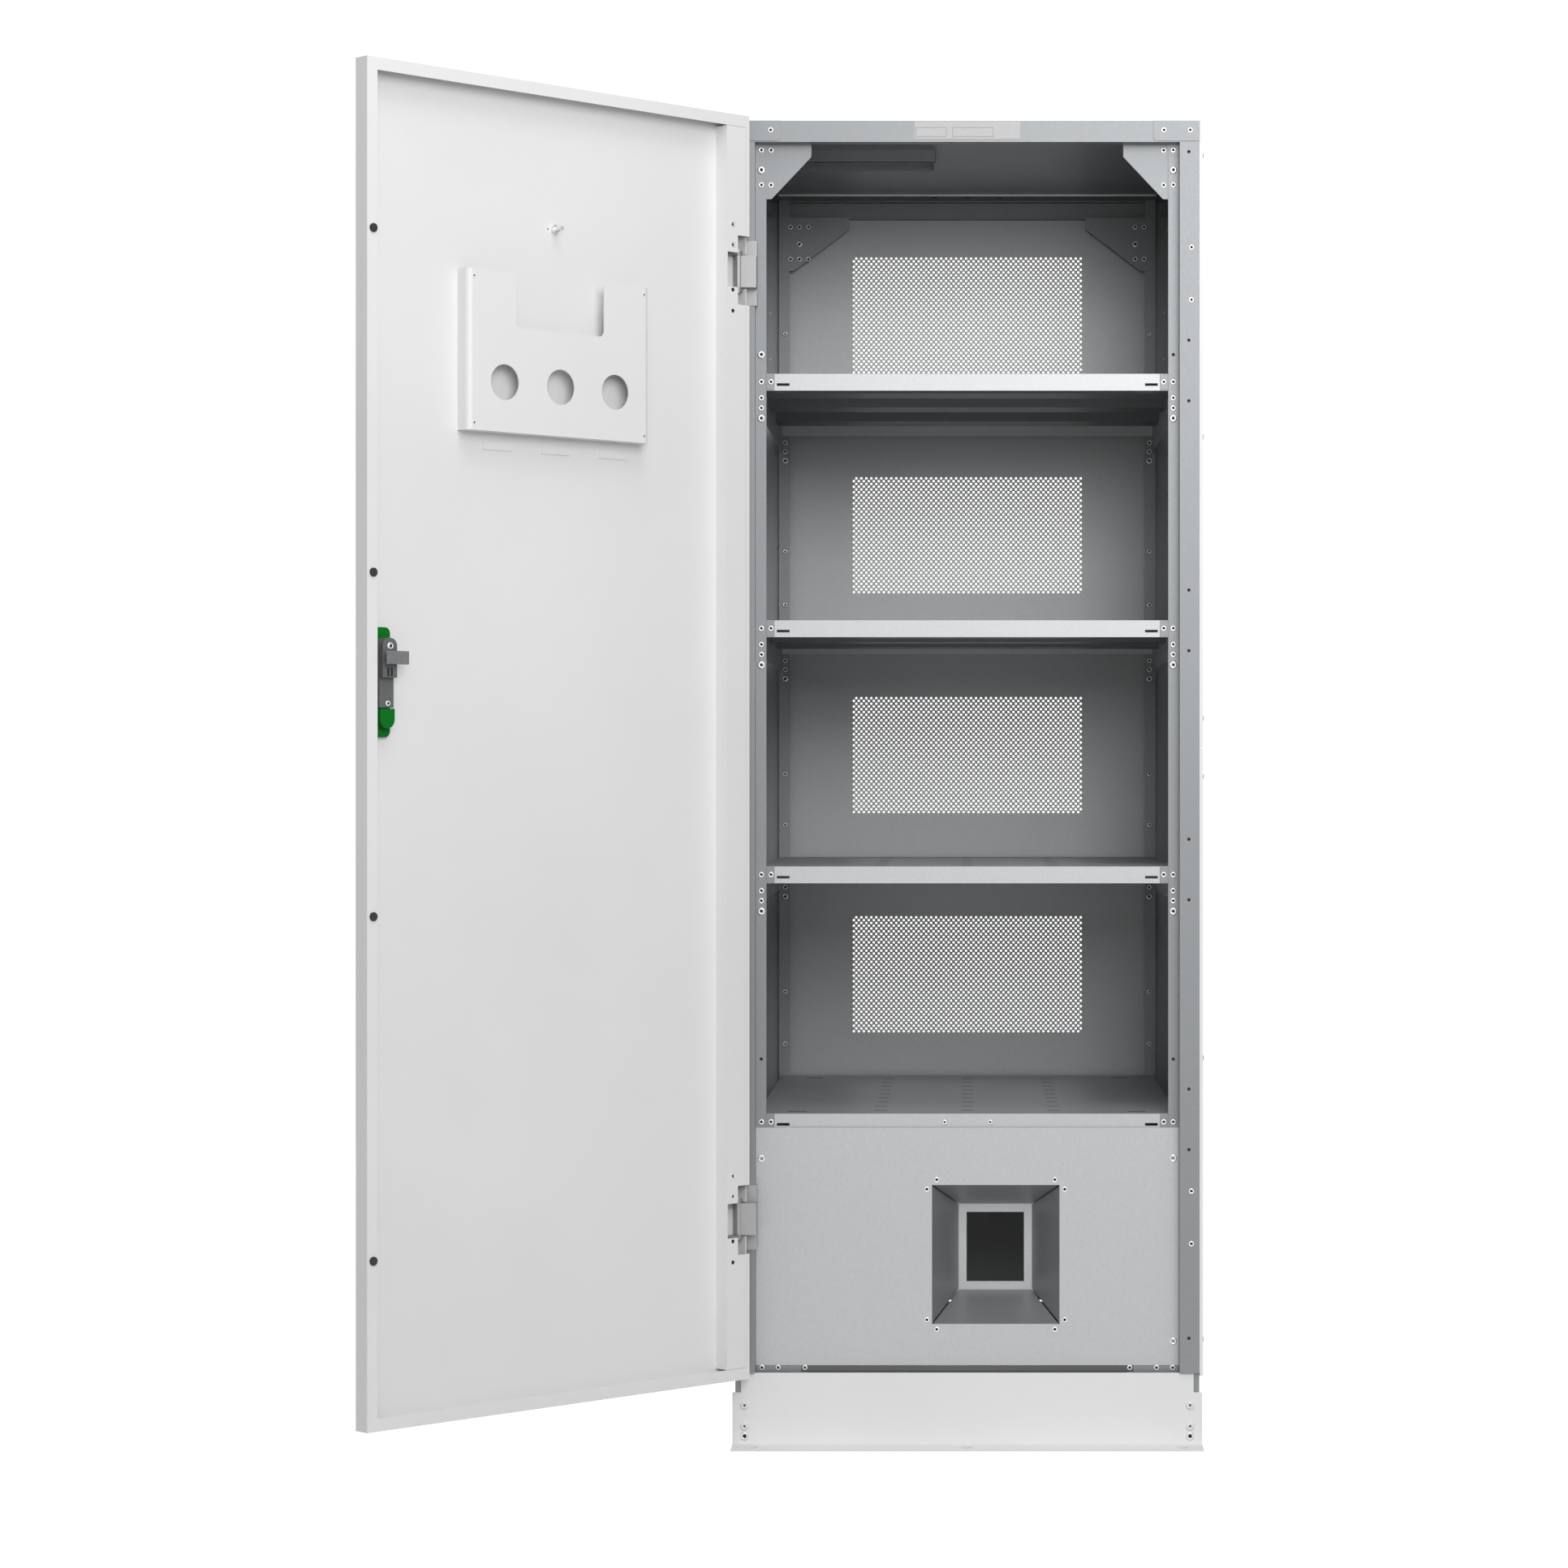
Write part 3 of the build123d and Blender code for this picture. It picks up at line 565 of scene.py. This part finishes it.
class CABINET_OT_frame_fasteners(bpy.types.Operator):
    """Rivets, screws and punched holes of the steel frame and shelves"""
    bl_idname = "cabinet.frame_fasteners"
    bl_label = "Frame fasteners"

    upright_x = 0.307
    tab_x = 0.2927
    outer_x = 0.329
    outer_holes = (1.922, 1.642, 1.552, 1.271, 1.181, 0.901, 0.811, 0.530, 0.440, 0.160)
    # Drops are measured down from a shelf's top
    front_rivet_drop = 0.012
    side_rivet_drops = (0.036, 0.051)
    shelf_screw_drop = 0.0665
    gusset_rivets = (1.928, 1.876)
    gusset_screw = 1.898
    corner_rivet_x = (0.292, 0.331)
    corner_rivet_z = 1.954
    upright_hole = 0.573
    low_screws = (0.426, 0.153)
    high_screw = 1.623
    hinge_x = 0.3328
    hinge_rivets = (0.3005, 0.3785, 1.702, 1.780)
    shelf_bolt_x = 0.034
    shelf_bolt_drop = 0.0125
    shelf_bolt_radius = 0.0042
    rear_gusset_x = (0.298, 0.283, 0.268)
    rear_gusset_rivets = (1.922, 1.868)
    rear_gusset_screw = 1.893
    rear_screws = (1.742, 1.652, 1.375, 1.285, 1.0, 0.914, 0.633, 0.545)

    def execute(self, context):
        rivets, screws, holes = bmesh.new(), bmesh.new(), bmesh.new()
        for side in (-1, 1):
            self.front_side(side, rivets, screws, holes)
        self.front_single(rivets, screws, holes)
        for side in (-1, 1):
            self.rear_side(side, rivets, screws)
        for name, bm, slot in (("frame_rivets", rivets, "galvanised"), ("frame_screws", screws, "zinc"),
                               ("frame_holes", holes, "galvanised")):
            add_piece(name, bm, "cabinet", "zinc" if bm is holes else "bright", "hole")
        return {"FINISHED"}

    def front_side(self, side, rivets, screws, holes):
        """Fasteners that both front uprights have."""
        face = INNER_Y
        x, tab = side * self.upright_x, side * self.tab_x
        for top in SHELF_TOPS:
            add_rivet(rivets, (x, face, top - self.front_rivet_drop), FORWARD)
            add_rivet(rivets, (tab, face, top - self.front_rivet_drop), FORWARD)
            for drop in self.side_rivet_drops:
                add_rivet(rivets, (x, face, top - drop), FORWARD)
            add_pan_screw(screws, (x, face, top - self.shelf_screw_drop), FORWARD)
        for z in self.gusset_rivets:
            add_rivet(rivets, (x, face, z), FORWARD)
        add_pan_screw(screws, (x, face, self.gusset_screw), FORWARD)
        for z in self.gusset_rivets:
            add_rivet(rivets, (tab, face + 0.002, z), FORWARD)
        for corner_x in self.corner_rivet_x:
            add_rivet(rivets, (side * corner_x, CORNER_Y, self.corner_rivet_z), FORWARD)
        for z in self.outer_holes:
            add_hole(holes, (side * self.outer_x, FRONT_Y, z), FORWARD, HOLE_RADIUS)
        add_hole(holes, (x, face, self.upright_hole), FORWARD, HOLE_RADIUS)
        for z in self.low_screws:
            if side > 0:
                add_pan_screw(screws, (x, face, z), FORWARD)
            else:
                add_hole(holes, (x, face, z), FORWARD, HOLE_RADIUS)

    def front_single(self, rivets, screws, holes):
        """Fasteners of one side only, and the two bolts of shelf_1."""
        for z in self.hinge_rivets:
            add_rivet(rivets, (self.hinge_x, FRONT_Y, z), FORWARD)
        add_pan_screw(screws, (-self.upright_x, INNER_Y, self.high_screw), FORWARD)
        add_hole(holes, (self.upright_x, INNER_Y, self.high_screw), FORWARD, HOLE_RADIUS)
        shelf_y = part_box("shelf_1")[0][1]
        for x in (-self.shelf_bolt_x, self.shelf_bolt_x):
            place = (x, shelf_y, SHELF_TOPS[0] - self.shelf_bolt_drop)
            add_pan_screw(screws, place, FORWARD, self.shelf_bolt_radius)

    def rear_side(self, side, rivets, screws):
        """Fasteners of a rear upright, on its inner face."""
        face = -INNER_Y - 0.002
        gusset_face = -INNER_Y - 0.0035
        x = side * self.upright_x
        for top in SHELF_TOPS:
            for drop in self.side_rivet_drops:
                add_rivet(rivets, (x, face, top - drop), FORWARD)
            add_pan_screw(screws, (x, face, top - self.shelf_screw_drop), FORWARD)
        for z in self.rear_gusset_rivets:
            for gusset_x in self.rear_gusset_x[:3 if side < 0 else 2]:
                add_rivet(rivets, (side * gusset_x, gusset_face, z), FORWARD)
        add_pan_screw(screws, (side * self.rear_gusset_x[1], gusset_face, self.rear_gusset_screw), FORWARD)
        for z in self.rear_screws:
            add_pan_screw(screws, (x, face, z), FORWARD, SMALL_PAN_RADIUS)


class CABINET_OT_shelf_detail(bpy.types.Operator):
    """Tabs that lap the shelf fronts, and the punched slots in the shelf tops, drawn in the near-black finish
    of painted shade
    """
    bl_idname = "cabinet.shelf_detail"
    bl_label = "Shelf detail"

    tab_span = (0.2995, 0.2875)
    tab_drops = (0.024, 0.0005)
    column_x = (-0.131, 0.0, 0.131)
    first_row_y = -0.33
    row_pitch = 0.08
    rows = 9
    row_half = (0.009, 0.0025)
    end_x = 0.255
    end_y = (-0.345, 0.33)
    end_half = (0.014, 0.0035)

    def execute(self, context):
        tabs, slots = bmesh.new(), bmesh.new()
        for top in SHELF_TOPS:
            foot, head = (top - drop for drop in self.tab_drops)
            for side in (-1, 1):
                x0, x1 = sorted(side * x for x in self.tab_span)
                add_box(tabs, (x0, INNER_Y, foot), (x1, INNER_Y + 0.0019, head), bevel=0.0004)
            for x in self.column_x:
                for row in range(self.rows):
                    self.add_slot(slots, x, self.first_row_y + row * self.row_pitch, top, self.row_half)
            for side in (-1, 1):
                for y in self.end_y:
                    self.add_slot(slots, side * self.end_x, y, top, self.end_half)
        add_piece("shelf_tabs", tabs, "cabinet", "zinc", "hole")
        add_piece("shelf_slots", slots, "cabinet", "zinc", "hole")
        return {"FINISHED"}

    @staticmethod
    def add_slot(slots, x, y, top, half):
        """Slot in a shelf's top, given by its middle and its half sizes, drawn as a thin box in the
        near-black finish of painted shade.
        """
        low = (x - half[0], y - half[1], top - 0.0002)
        high = (x + half[0], y + half[1], top + 0.0001)
        add_box(slots, low, high, index=1)


class CABINET_OT_cover_fasteners(bpy.types.Operator):
    """Rivets of the lower cover and its funnel"""
    bl_idname = "cabinet.cover_fasteners"
    bl_label = "Cover fasteners"

    # Sideways and upward from the middle of the funnel's window
    corner_rivets = ((0.088, 0.1115), (0.1027, 0.0973))
    foot_x = (0.306, 0.282, 0.242)
    foot_drop = 0.0035

    def execute(self, context):
        rivets = bmesh.new()
        for sx in (-1, 1):
            for sz in (-1, 1):
                for dx, dz in self.corner_rivets:
                    add_rivet(rivets, (FUNNEL_X + sx * dx, COVER_Y, FUNNEL_Z + sz * dz), FORWARD)
            for x in self.foot_x:
                add_rivet(rivets, (sx * x, COVER_Y, COVER_LOW[2] - self.foot_drop), FORWARD)
        add_piece("cover_rivets", rivets, "cabinet", "bright", "hole")
        return {"FINISHED"}


class CABINET_OT_label_plate(bpy.types.Operator):
    """Bare label plate on the top rail"""
    bl_idname = "cabinet.label_plate"
    bl_label = "Label plate"

    half_width = 0.0787
    thickness = 0.0004
    # Above the lower and the upper edge of the top rail
    foot_rise = 0.0045
    head_rise = 0.0005
    # Two outlined boxes side by side, with heights over the plate's foot
    box_inset = 0.002
    box_gap = (-0.031, -0.022)
    box_end = 0.04
    box_heights = (0.003, 0.017)
    line = 0.0005
    ink = 0.0001

    def execute(self, context):
        bm = bmesh.new()
        low = Vector((-self.half_width, FRONT_Y - self.thickness, RAIL_LOW[2] + self.foot_rise))
        high = Vector((self.half_width, FRONT_Y, RAIL_HIGH[2] + self.head_rise))
        add_box(bm, low, high, bevel=0.00015)
        line, ink = self.line, self.ink
        z0, z1 = (low.z + rise for rise in self.box_heights)
        for x0, x1 in ((low.x + self.box_inset, self.box_gap[0]), (self.box_gap[1], high.x - self.box_end)):
            for a, b in (((x0, z0), (x1, z0 + line)), ((x0, z1 - line), (x1, z1)),
                         ((x0, z0), (x0 + line, z1)), ((x1 - line, z0), (x1, z1))):
                add_box(bm, (a[0], low.y - ink, a[1]), (b[0], low.y + ink, b[1]), index=1)
        add_piece("label_plate", bm, "cabinet", "label", "cast")
        return {"FINISHED"}


class CABINET_OT_plinth_fasteners(bpy.types.Operator):
    """Painted screws, threaded inserts and corner fillers of the plinth"""
    bl_idname = "cabinet.plinth_fasteners"
    bl_label = "Plinth fasteners"

    corner_x = 0.331
    screw_heights = (0.060, 0.029)
    insert_height = 0.014
    filler_span = (0.3375, 0.3448)
    filler_heights = (0.076, 0.1075)

    def execute(self, context):
        screws, inserts, fillers = bmesh.new(), bmesh.new(), bmesh.new()
        for end in (-1, 1):
            out = Vector((0, end, 0))
            y = end * abs(PLINTH_HIGH[1] - 0.0025)
            for side in (-1, 1):
                x = side * self.corner_x
                for z in self.screw_heights:
                    add_pan_screw(screws, (x, y, z), out, PLINTH_SCREW_RADIUS, 0.3)
                place = facing((x, y, self.insert_height), out)
                lathe(inserts, [(0.006, 0), (0.006, 0.0008), (0.003, 0.0008), (0.0029, 0.0002)], place, 20)
                # Bore of the insert in the near-black hole finish: painted shade
                lathe(inserts, [(0.0028, 0.0001), (0.00279, 0.0003)], place, 16, 1)
        add_piece("plinth_screws", screws, "cabinet", "paint", "cast_light")
        z0, z1 = self.filler_heights
        for side in (-1, 1):
            x0, x1 = sorted(side * x for x in self.filler_span)
            add_box(fillers, (x0, PLINTH_HIGH[1] - 0.0004, z0), (x1, PLINTH_HIGH[1] + 0.0015, z1))
        # The fillers take the grey zinc finish in place of shadowed paint: painted shade
        add_piece("notch_fillers", fillers, "cabinet", "zinc")
        add_piece("plinth_inserts", inserts, "cabinet", "bright", "hole")
        return {"FINISHED"}


class CABINET_OT_side_screws(bpy.types.Operator):
    """Dome screws that hold the side panels"""
    bl_idname = "cabinet.side_screws"
    bl_label = "Side screws"

    heights = (1.919, 1.500, 1.081, 0.994, 0.575, 0.156)
    inset = 0.02

    def execute(self, context):
        bm = bmesh.new()
        for side in (-1, 1):
            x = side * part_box("side_panel_right_upper")[1][0]
            for z in self.heights:
                for y in (FRONT_Y + self.inset, -FRONT_Y - self.inset):
                    add_pan_screw(bm, (x, y, z), (side, 0, 0), SMALL_PAN_RADIUS)
        add_piece("side_screws", bm, "cabinet", "leaf", "hole")
        return {"FINISHED"}


class CABINET_OT_door_fasteners(bpy.types.Operator):
    """Screws, bolts and fixings on the inside of the door"""
    bl_idname = "cabinet.door_fasteners"
    bl_label = "Door fasteners"

    # s runs along the door from its hinge edge
    hinge_s = 0.0327
    hinge_screws = (0.066, 0.036)
    hinge_holes = (-0.030, -0.061)
    hinge_hole_radius = 0.003
    pocket_s = (0.204, 0.512)
    pocket_heights = (1.4745, 1.6985)
    pocket_inset = 0.010
    top_hole_s = (0.341, 0.361)
    top_hole_drop = 0.2

    def execute(self, context):
        screws, holes, studs = bmesh.new(), bmesh.new(), bmesh.new()
        for z in HINGE_HEIGHTS:
            for dz in self.hinge_screws:
                add_flat_screw(screws, door_point(self.hinge_s, DOOR_INNER_Y, z + dz), INWARD)
            for dz in self.hinge_holes:
                place = door_point(self.hinge_s, DOOR_INNER_Y, z + dz)
                add_hole(holes, place, INWARD, self.hinge_hole_radius)
        for dz, s, r in ((0.016, 0.655, 0.0052), (-0.062, 0.653, 0.0042)):
            y = DOOR_INNER_Y - (0.001 if dz > -0.02 else 0.009)
            add_pan_screw(screws, door_point(s, y, LATCH_Z + dz), INWARD, r)
        self.latch_slots(holes)
        low, high = self.pocket_heights
        for s in self.pocket_s:
            for z in (low + self.pocket_inset, high - self.pocket_inset):
                add_flat_screw(studs, door_point(s, DOOR_SKIN_Y + 0.025, z), INWARD, 0.003)
        for s in self.top_hole_s:
            add_hole(holes, door_point(s, DOOR_SKIN_Y, DOOR_TOP - self.top_hole_drop), INWARD, 0.0012)
        add_piece("door_screws", screws, "door", "bright", "hole")
        add_piece("door_holes", holes, "door", "paint", "hole")
        add_piece("pocket_fixings", studs, "door", "paint", "hole")
        return {"FINISHED"}

    @staticmethod
    def latch_slots(holes):
        """Two small slots in the latch case, below the tongue, as near-black boxes of painted shade."""
        face = max((OPEN_DOOR.inverted() @ Vector(corner)).y for corner in node_corners("latch_case"))
        for s in (-0.003, 0.003):
            place = OPEN_DOOR @ Matrix.Translation((LATCH_X + s, face, LATCH_Z - 0.0195))
            add_box(holes, (-0.0015, -0.0003, -0.006), (0.0015, 0.0002, 0.006), place, 1)


class CABINET_OT_latch_detail(bpy.types.Operator):
    """Flat-topped boss of the key barrel and the square bar of the tongue"""
    bl_idname = "cabinet.latch_detail"
    bl_label = "Latch detail"

    boss_radius = 0.0123
    boss_rise = 0.0148
    bar_half = 0.0091

    def execute(self, context):
        shut = OPEN_DOOR.inverted()
        end = max((shut @ v).y for v in node_corners("latch_housing"))
        outline = [(self.boss_radius * cos(t), self.boss_radius * sin(t))
                   for t in (-pi * k / 16 for k in range(17))]
        outline += [(-self.boss_radius, self.boss_rise), (self.boss_radius, self.boss_rise)]
        bm = bmesh.new()
        rings = [[bm.verts.new(OPEN_DOOR @ Vector((LATCH_X + x, y, BARREL_Z + z))) for x, z in outline]
                 for y in (end - 0.012, end + 0.0002)]
        count = len(outline)
        for k in range(count):
            n = (k + 1) % count
            bm.faces.new((rings[0][k], rings[0][n], rings[1][n], rings[1][k]))
        bm.faces.new(rings[0])
        bm.faces.new(list(reversed(rings[1])))
        boss = add_piece("barrel_boss", bm, "door", "green")
        soften(boss, 0.0006)
        tongue = [shut @ v for v in node_corners("latch_spindle")]
        tip = max(tongue, key=lambda v: abs(v.x - LATCH_X))
        reach = 0.0125 if tip.x < LATCH_X else -0.0125
        thick = [v.y for v in tongue if abs(v.x - tip.x) < 0.001]
        bm = bmesh.new()
        x0, x1 = sorted((tip.x, LATCH_X + reach))
        add_box(bm, (x0, min(thick) - 0.0001, LATCH_Z - self.bar_half),
                (x1, max(thick) + 0.0002, LATCH_Z + self.bar_half), OPEN_DOOR)
        bar = add_piece("tongue_bar", bm, "latch", "cast_light")
        soften(bar, 0.0006)
        return {"FINISHED"}


class CABINET_OT_roof_detail(bpy.types.Operator):
    """Seam and small slots under the roof, the slots in the near-black finish of painted shade, and the lip
    of the cable entry
    """
    bl_idname = "cabinet.roof_detail"
    bl_label = "Roof detail"

    seam_span = (0.312, 0.316)
    slot_x = (-0.055, 0.0, 0.055)
    slot_y = (-0.34, 0.352)
    lip = 0.0015

    def execute(self, context):
        bm = bmesh.new()
        under = ROOF_LOW[2]
        front, back = self.seam_span
        add_box(bm, (ROOF_LOW[0] + 0.03, front, under - 0.003), (ROOF_HIGH[0] - 0.03, back, under),
                bevel=0.0006)
        for y in self.slot_y:
            for x in self.slot_x:
                add_box(bm, (x - 0.004, y - 0.002, under - 0.0003), (x + 0.004, y + 0.002, under), index=1)
        entry_low, entry_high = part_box("cable_entry_frame")
        edge = entry_low[1]
        add_box(bm, (entry_low[0], edge, entry_low[2]),
                (entry_high[0], edge + self.lip, entry_low[2] + self.lip))
        add_piece("roof_detail", bm, "cabinet", "bright", "hole")
        return {"FINISHED"}


class CABINET_OT_stage(bpy.types.Operator):
    """Pale floor and backdrop, soft lamps and the camera"""
    bl_idname = "cabinet.stage"
    bl_label = "Stage"

    def execute(self, context):
        settings = context.scene.cabinet_stage
        scene = context.scene
        self.floor(scene)
        self.lamps(scene, settings)
        camera = bpy.data.objects.new("camera", bpy.data.cameras.new("camera"))
        scene.collection.objects.link(camera)
        camera.location = (0, FRONT_Y - settings.distance, settings.height)
        camera.rotation_euler = (pi / 2, 0, 0)
        camera.data.lens = settings.lens
        camera.data.sensor_width = 36
        camera.data.shift_x = settings.shift
        scene.camera = camera
        scene.view_settings.view_transform = "Standard"
        return {"FINISHED"}

    def floor(self, scene):
        """Floor that curves up into a backdrop."""
        radius, width, back, top = 1.0, 14.0, 5.0, 7.0
        profile = [(-12.0, 0.0), (back - radius, 0.0)]
        profile += [(back - radius + radius * sin(t), radius - radius * cos(t))
                    for t in (pi / 2 * k / 12 for k in range(1, 13))]
        profile.append((back, top))
        verts = [(x, y, z - 0.0005) for y, z in profile for x in (-width, width)]
        faces = [(2 * i, 2 * i + 1, 2 * i + 3, 2 * i + 2) for i in range(len(profile) - 1)]
        mesh = bpy.data.meshes.new("studio_floor")
        mesh.from_pydata(verts, [], faces)
        floor = bpy.data.objects.new("studio_floor", mesh)
        scene.collection.objects.link(floor)
        material, nodes, links, shader = new_material("studio_white")
        shader.inputs["Base Color"].default_value = (0.5, 0.5, 0.5, 1)
        shader.inputs["Roughness"].default_value = 0.25
        glow = nodes.new("ShaderNodeEmission")
        path = nodes.new("ShaderNodeLightPath")
        seen = nodes.new("ShaderNodeMath")
        seen.operation = "MAXIMUM"
        links.new(path.outputs["Is Camera Ray"], seen.inputs[0])
        links.new(path.outputs["Is Glossy Ray"], seen.inputs[1])
        scale = nodes.new("ShaderNodeMath")
        scale.operation = "MULTIPLY"
        scale.inputs[1].default_value = BACKDROP_GLOW
        links.new(seen.outputs["Value"], scale.inputs[0])
        links.new(scale.outputs["Value"], glow.inputs["Strength"])
        add = nodes.new("ShaderNodeAddShader")
        links.new(shader.outputs["BSDF"], add.inputs[0])
        links.new(glow.outputs["Emission"], add.inputs[1])
        links.new(add.outputs["Shader"], nodes["Material Output"].inputs["Surface"])
        mesh.materials.append(material)
        self.shade(scene)

    @staticmethod
    def shade(scene):
        """Dark plane on the ground inside the plinth: painted shade where no studio light comes, with a faint
        glow of painted light.
        """
        x, y = PLINTH_HIGH[0] - 0.002, abs(PLINTH_LOW[1]) - 0.002
        mesh = bpy.data.meshes.new("plinth_shade")
        corners = [(-x, -y, 0.0002), (x, -y, 0.0002), (x, y, 0.0002), (-x, y, 0.0002)]
        mesh.from_pydata(corners, [], [(0, 1, 2, 3)])
        ground = bpy.data.objects.new("plinth_shade", mesh)
        scene.collection.objects.link(ground)
        shaded = plain_grain("shaded_floor", (0.30, 0.30, 0.30), (0.34, 0.34, 0.34), 0.8, 4, 0.02)
        shader = shaded.node_tree.nodes["Principled BSDF"]
        # Faint glow of the shade plane: painted light in place of bounced light
        shader.inputs["Emission Color"].default_value = (1, 1, 1, 1)
        shader.inputs["Emission Strength"].default_value = SHADE_GLOW
        mesh.materials.append(shaded)

    @staticmethod
    def lamps(scene, settings):
        """Soft lamps in front and above, and a weak one from the left."""
        world = bpy.data.worlds.new("even_light")
        scene.world = world
        world.use_nodes = True
        sky = world.node_tree.nodes["Background"]
        sky.inputs["Color"].default_value = (1, 1, 1, 1)
        sky.inputs["Strength"].default_value = settings.world
        for name, place, target, size, share in (
                ("front_lamp", (0.3, -6.0, 2.3), (0, 0, 0.9), 1.6, 0.45),
                ("key_lamp", (1.2, -4.3, 2.9), (0, 0, 0.8), 2.4, 0.78),
                ("top_lamp", (0, -2.2, 4.2), (0, -0.5, 0), 1.6, 0.3),
                ("fill_lamp", (-3.6, -3.4, 2.2), (0, 0, 1.0), 2.4, 0.15)):
            lamp = bpy.data.lights.new(name, "AREA")
            lamp.size = size
            lamp.energy = settings.lamp * share
            light = bpy.data.objects.new(name, lamp)
            light.location = place
            light.rotation_euler = (Vector(target) - Vector(place)).to_track_quat("-Z", "Y").to_euler()
            scene.collection.objects.link(light)


GROUPS = (("cabinet_finish", CabinetFinish), ("cabinet_perforation", CabinetPerforation),
          ("cabinet_stage", CabinetStage))
OPERATORS = (CABINET_OT_finishes, CABINET_OT_rear_panel, CABINET_OT_frame_fasteners,
             CABINET_OT_shelf_detail, CABINET_OT_cover_fasteners, CABINET_OT_label_plate,
             CABINET_OT_plinth_fasteners, CABINET_OT_side_screws, CABINET_OT_door_fasteners,
             CABINET_OT_latch_detail, CABINET_OT_roof_detail, CABINET_OT_stage)


class CABINET_PT_panel(bpy.types.Panel):
    """Lists the cabinet's settings and pieces"""
    bl_label = "Battery Cabinet"
    bl_idname = "CABINET_PT_panel"
    bl_space_type = "VIEW_3D"
    bl_region_type = "UI"
    bl_category = "Cabinet"

    def draw(self, context):
        layout = self.layout
        for name, _ in GROUPS:
            group = getattr(context.scene, name)
            box = layout.box()
            for key in group.__annotations__:
                box.prop(group, key)
        for operator in OPERATORS:
            layout.operator(operator.bl_idname)


def register():
    for name, group in GROUPS:
        bpy.utils.register_class(group)
        setattr(bpy.types.Scene, name, PointerProperty(type=group))
    for operator in OPERATORS:
        bpy.utils.register_class(operator)
    bpy.utils.register_class(CABINET_PT_panel)


def unregister():
    bpy.utils.unregister_class(CABINET_PT_panel)
    for operator in reversed(OPERATORS):
        bpy.utils.unregister_class(operator)
    for name, group in reversed(GROUPS):
        delattr(bpy.types.Scene, name)
        bpy.utils.unregister_class(group)


def main():
    register()
    bpy.ops.cabinet.finishes()
    bpy.ops.cabinet.rear_panel()
    bpy.ops.cabinet.frame_fasteners()
    bpy.ops.cabinet.shelf_detail()
    bpy.ops.cabinet.cover_fasteners()
    bpy.ops.cabinet.label_plate()
    bpy.ops.cabinet.plinth_fasteners()
    bpy.ops.cabinet.side_screws()
    bpy.ops.cabinet.door_fasteners()
    bpy.ops.cabinet.latch_detail()
    bpy.ops.cabinet.roof_detail()
    bpy.ops.cabinet.stage()


if __name__ == "__main__":
    main()
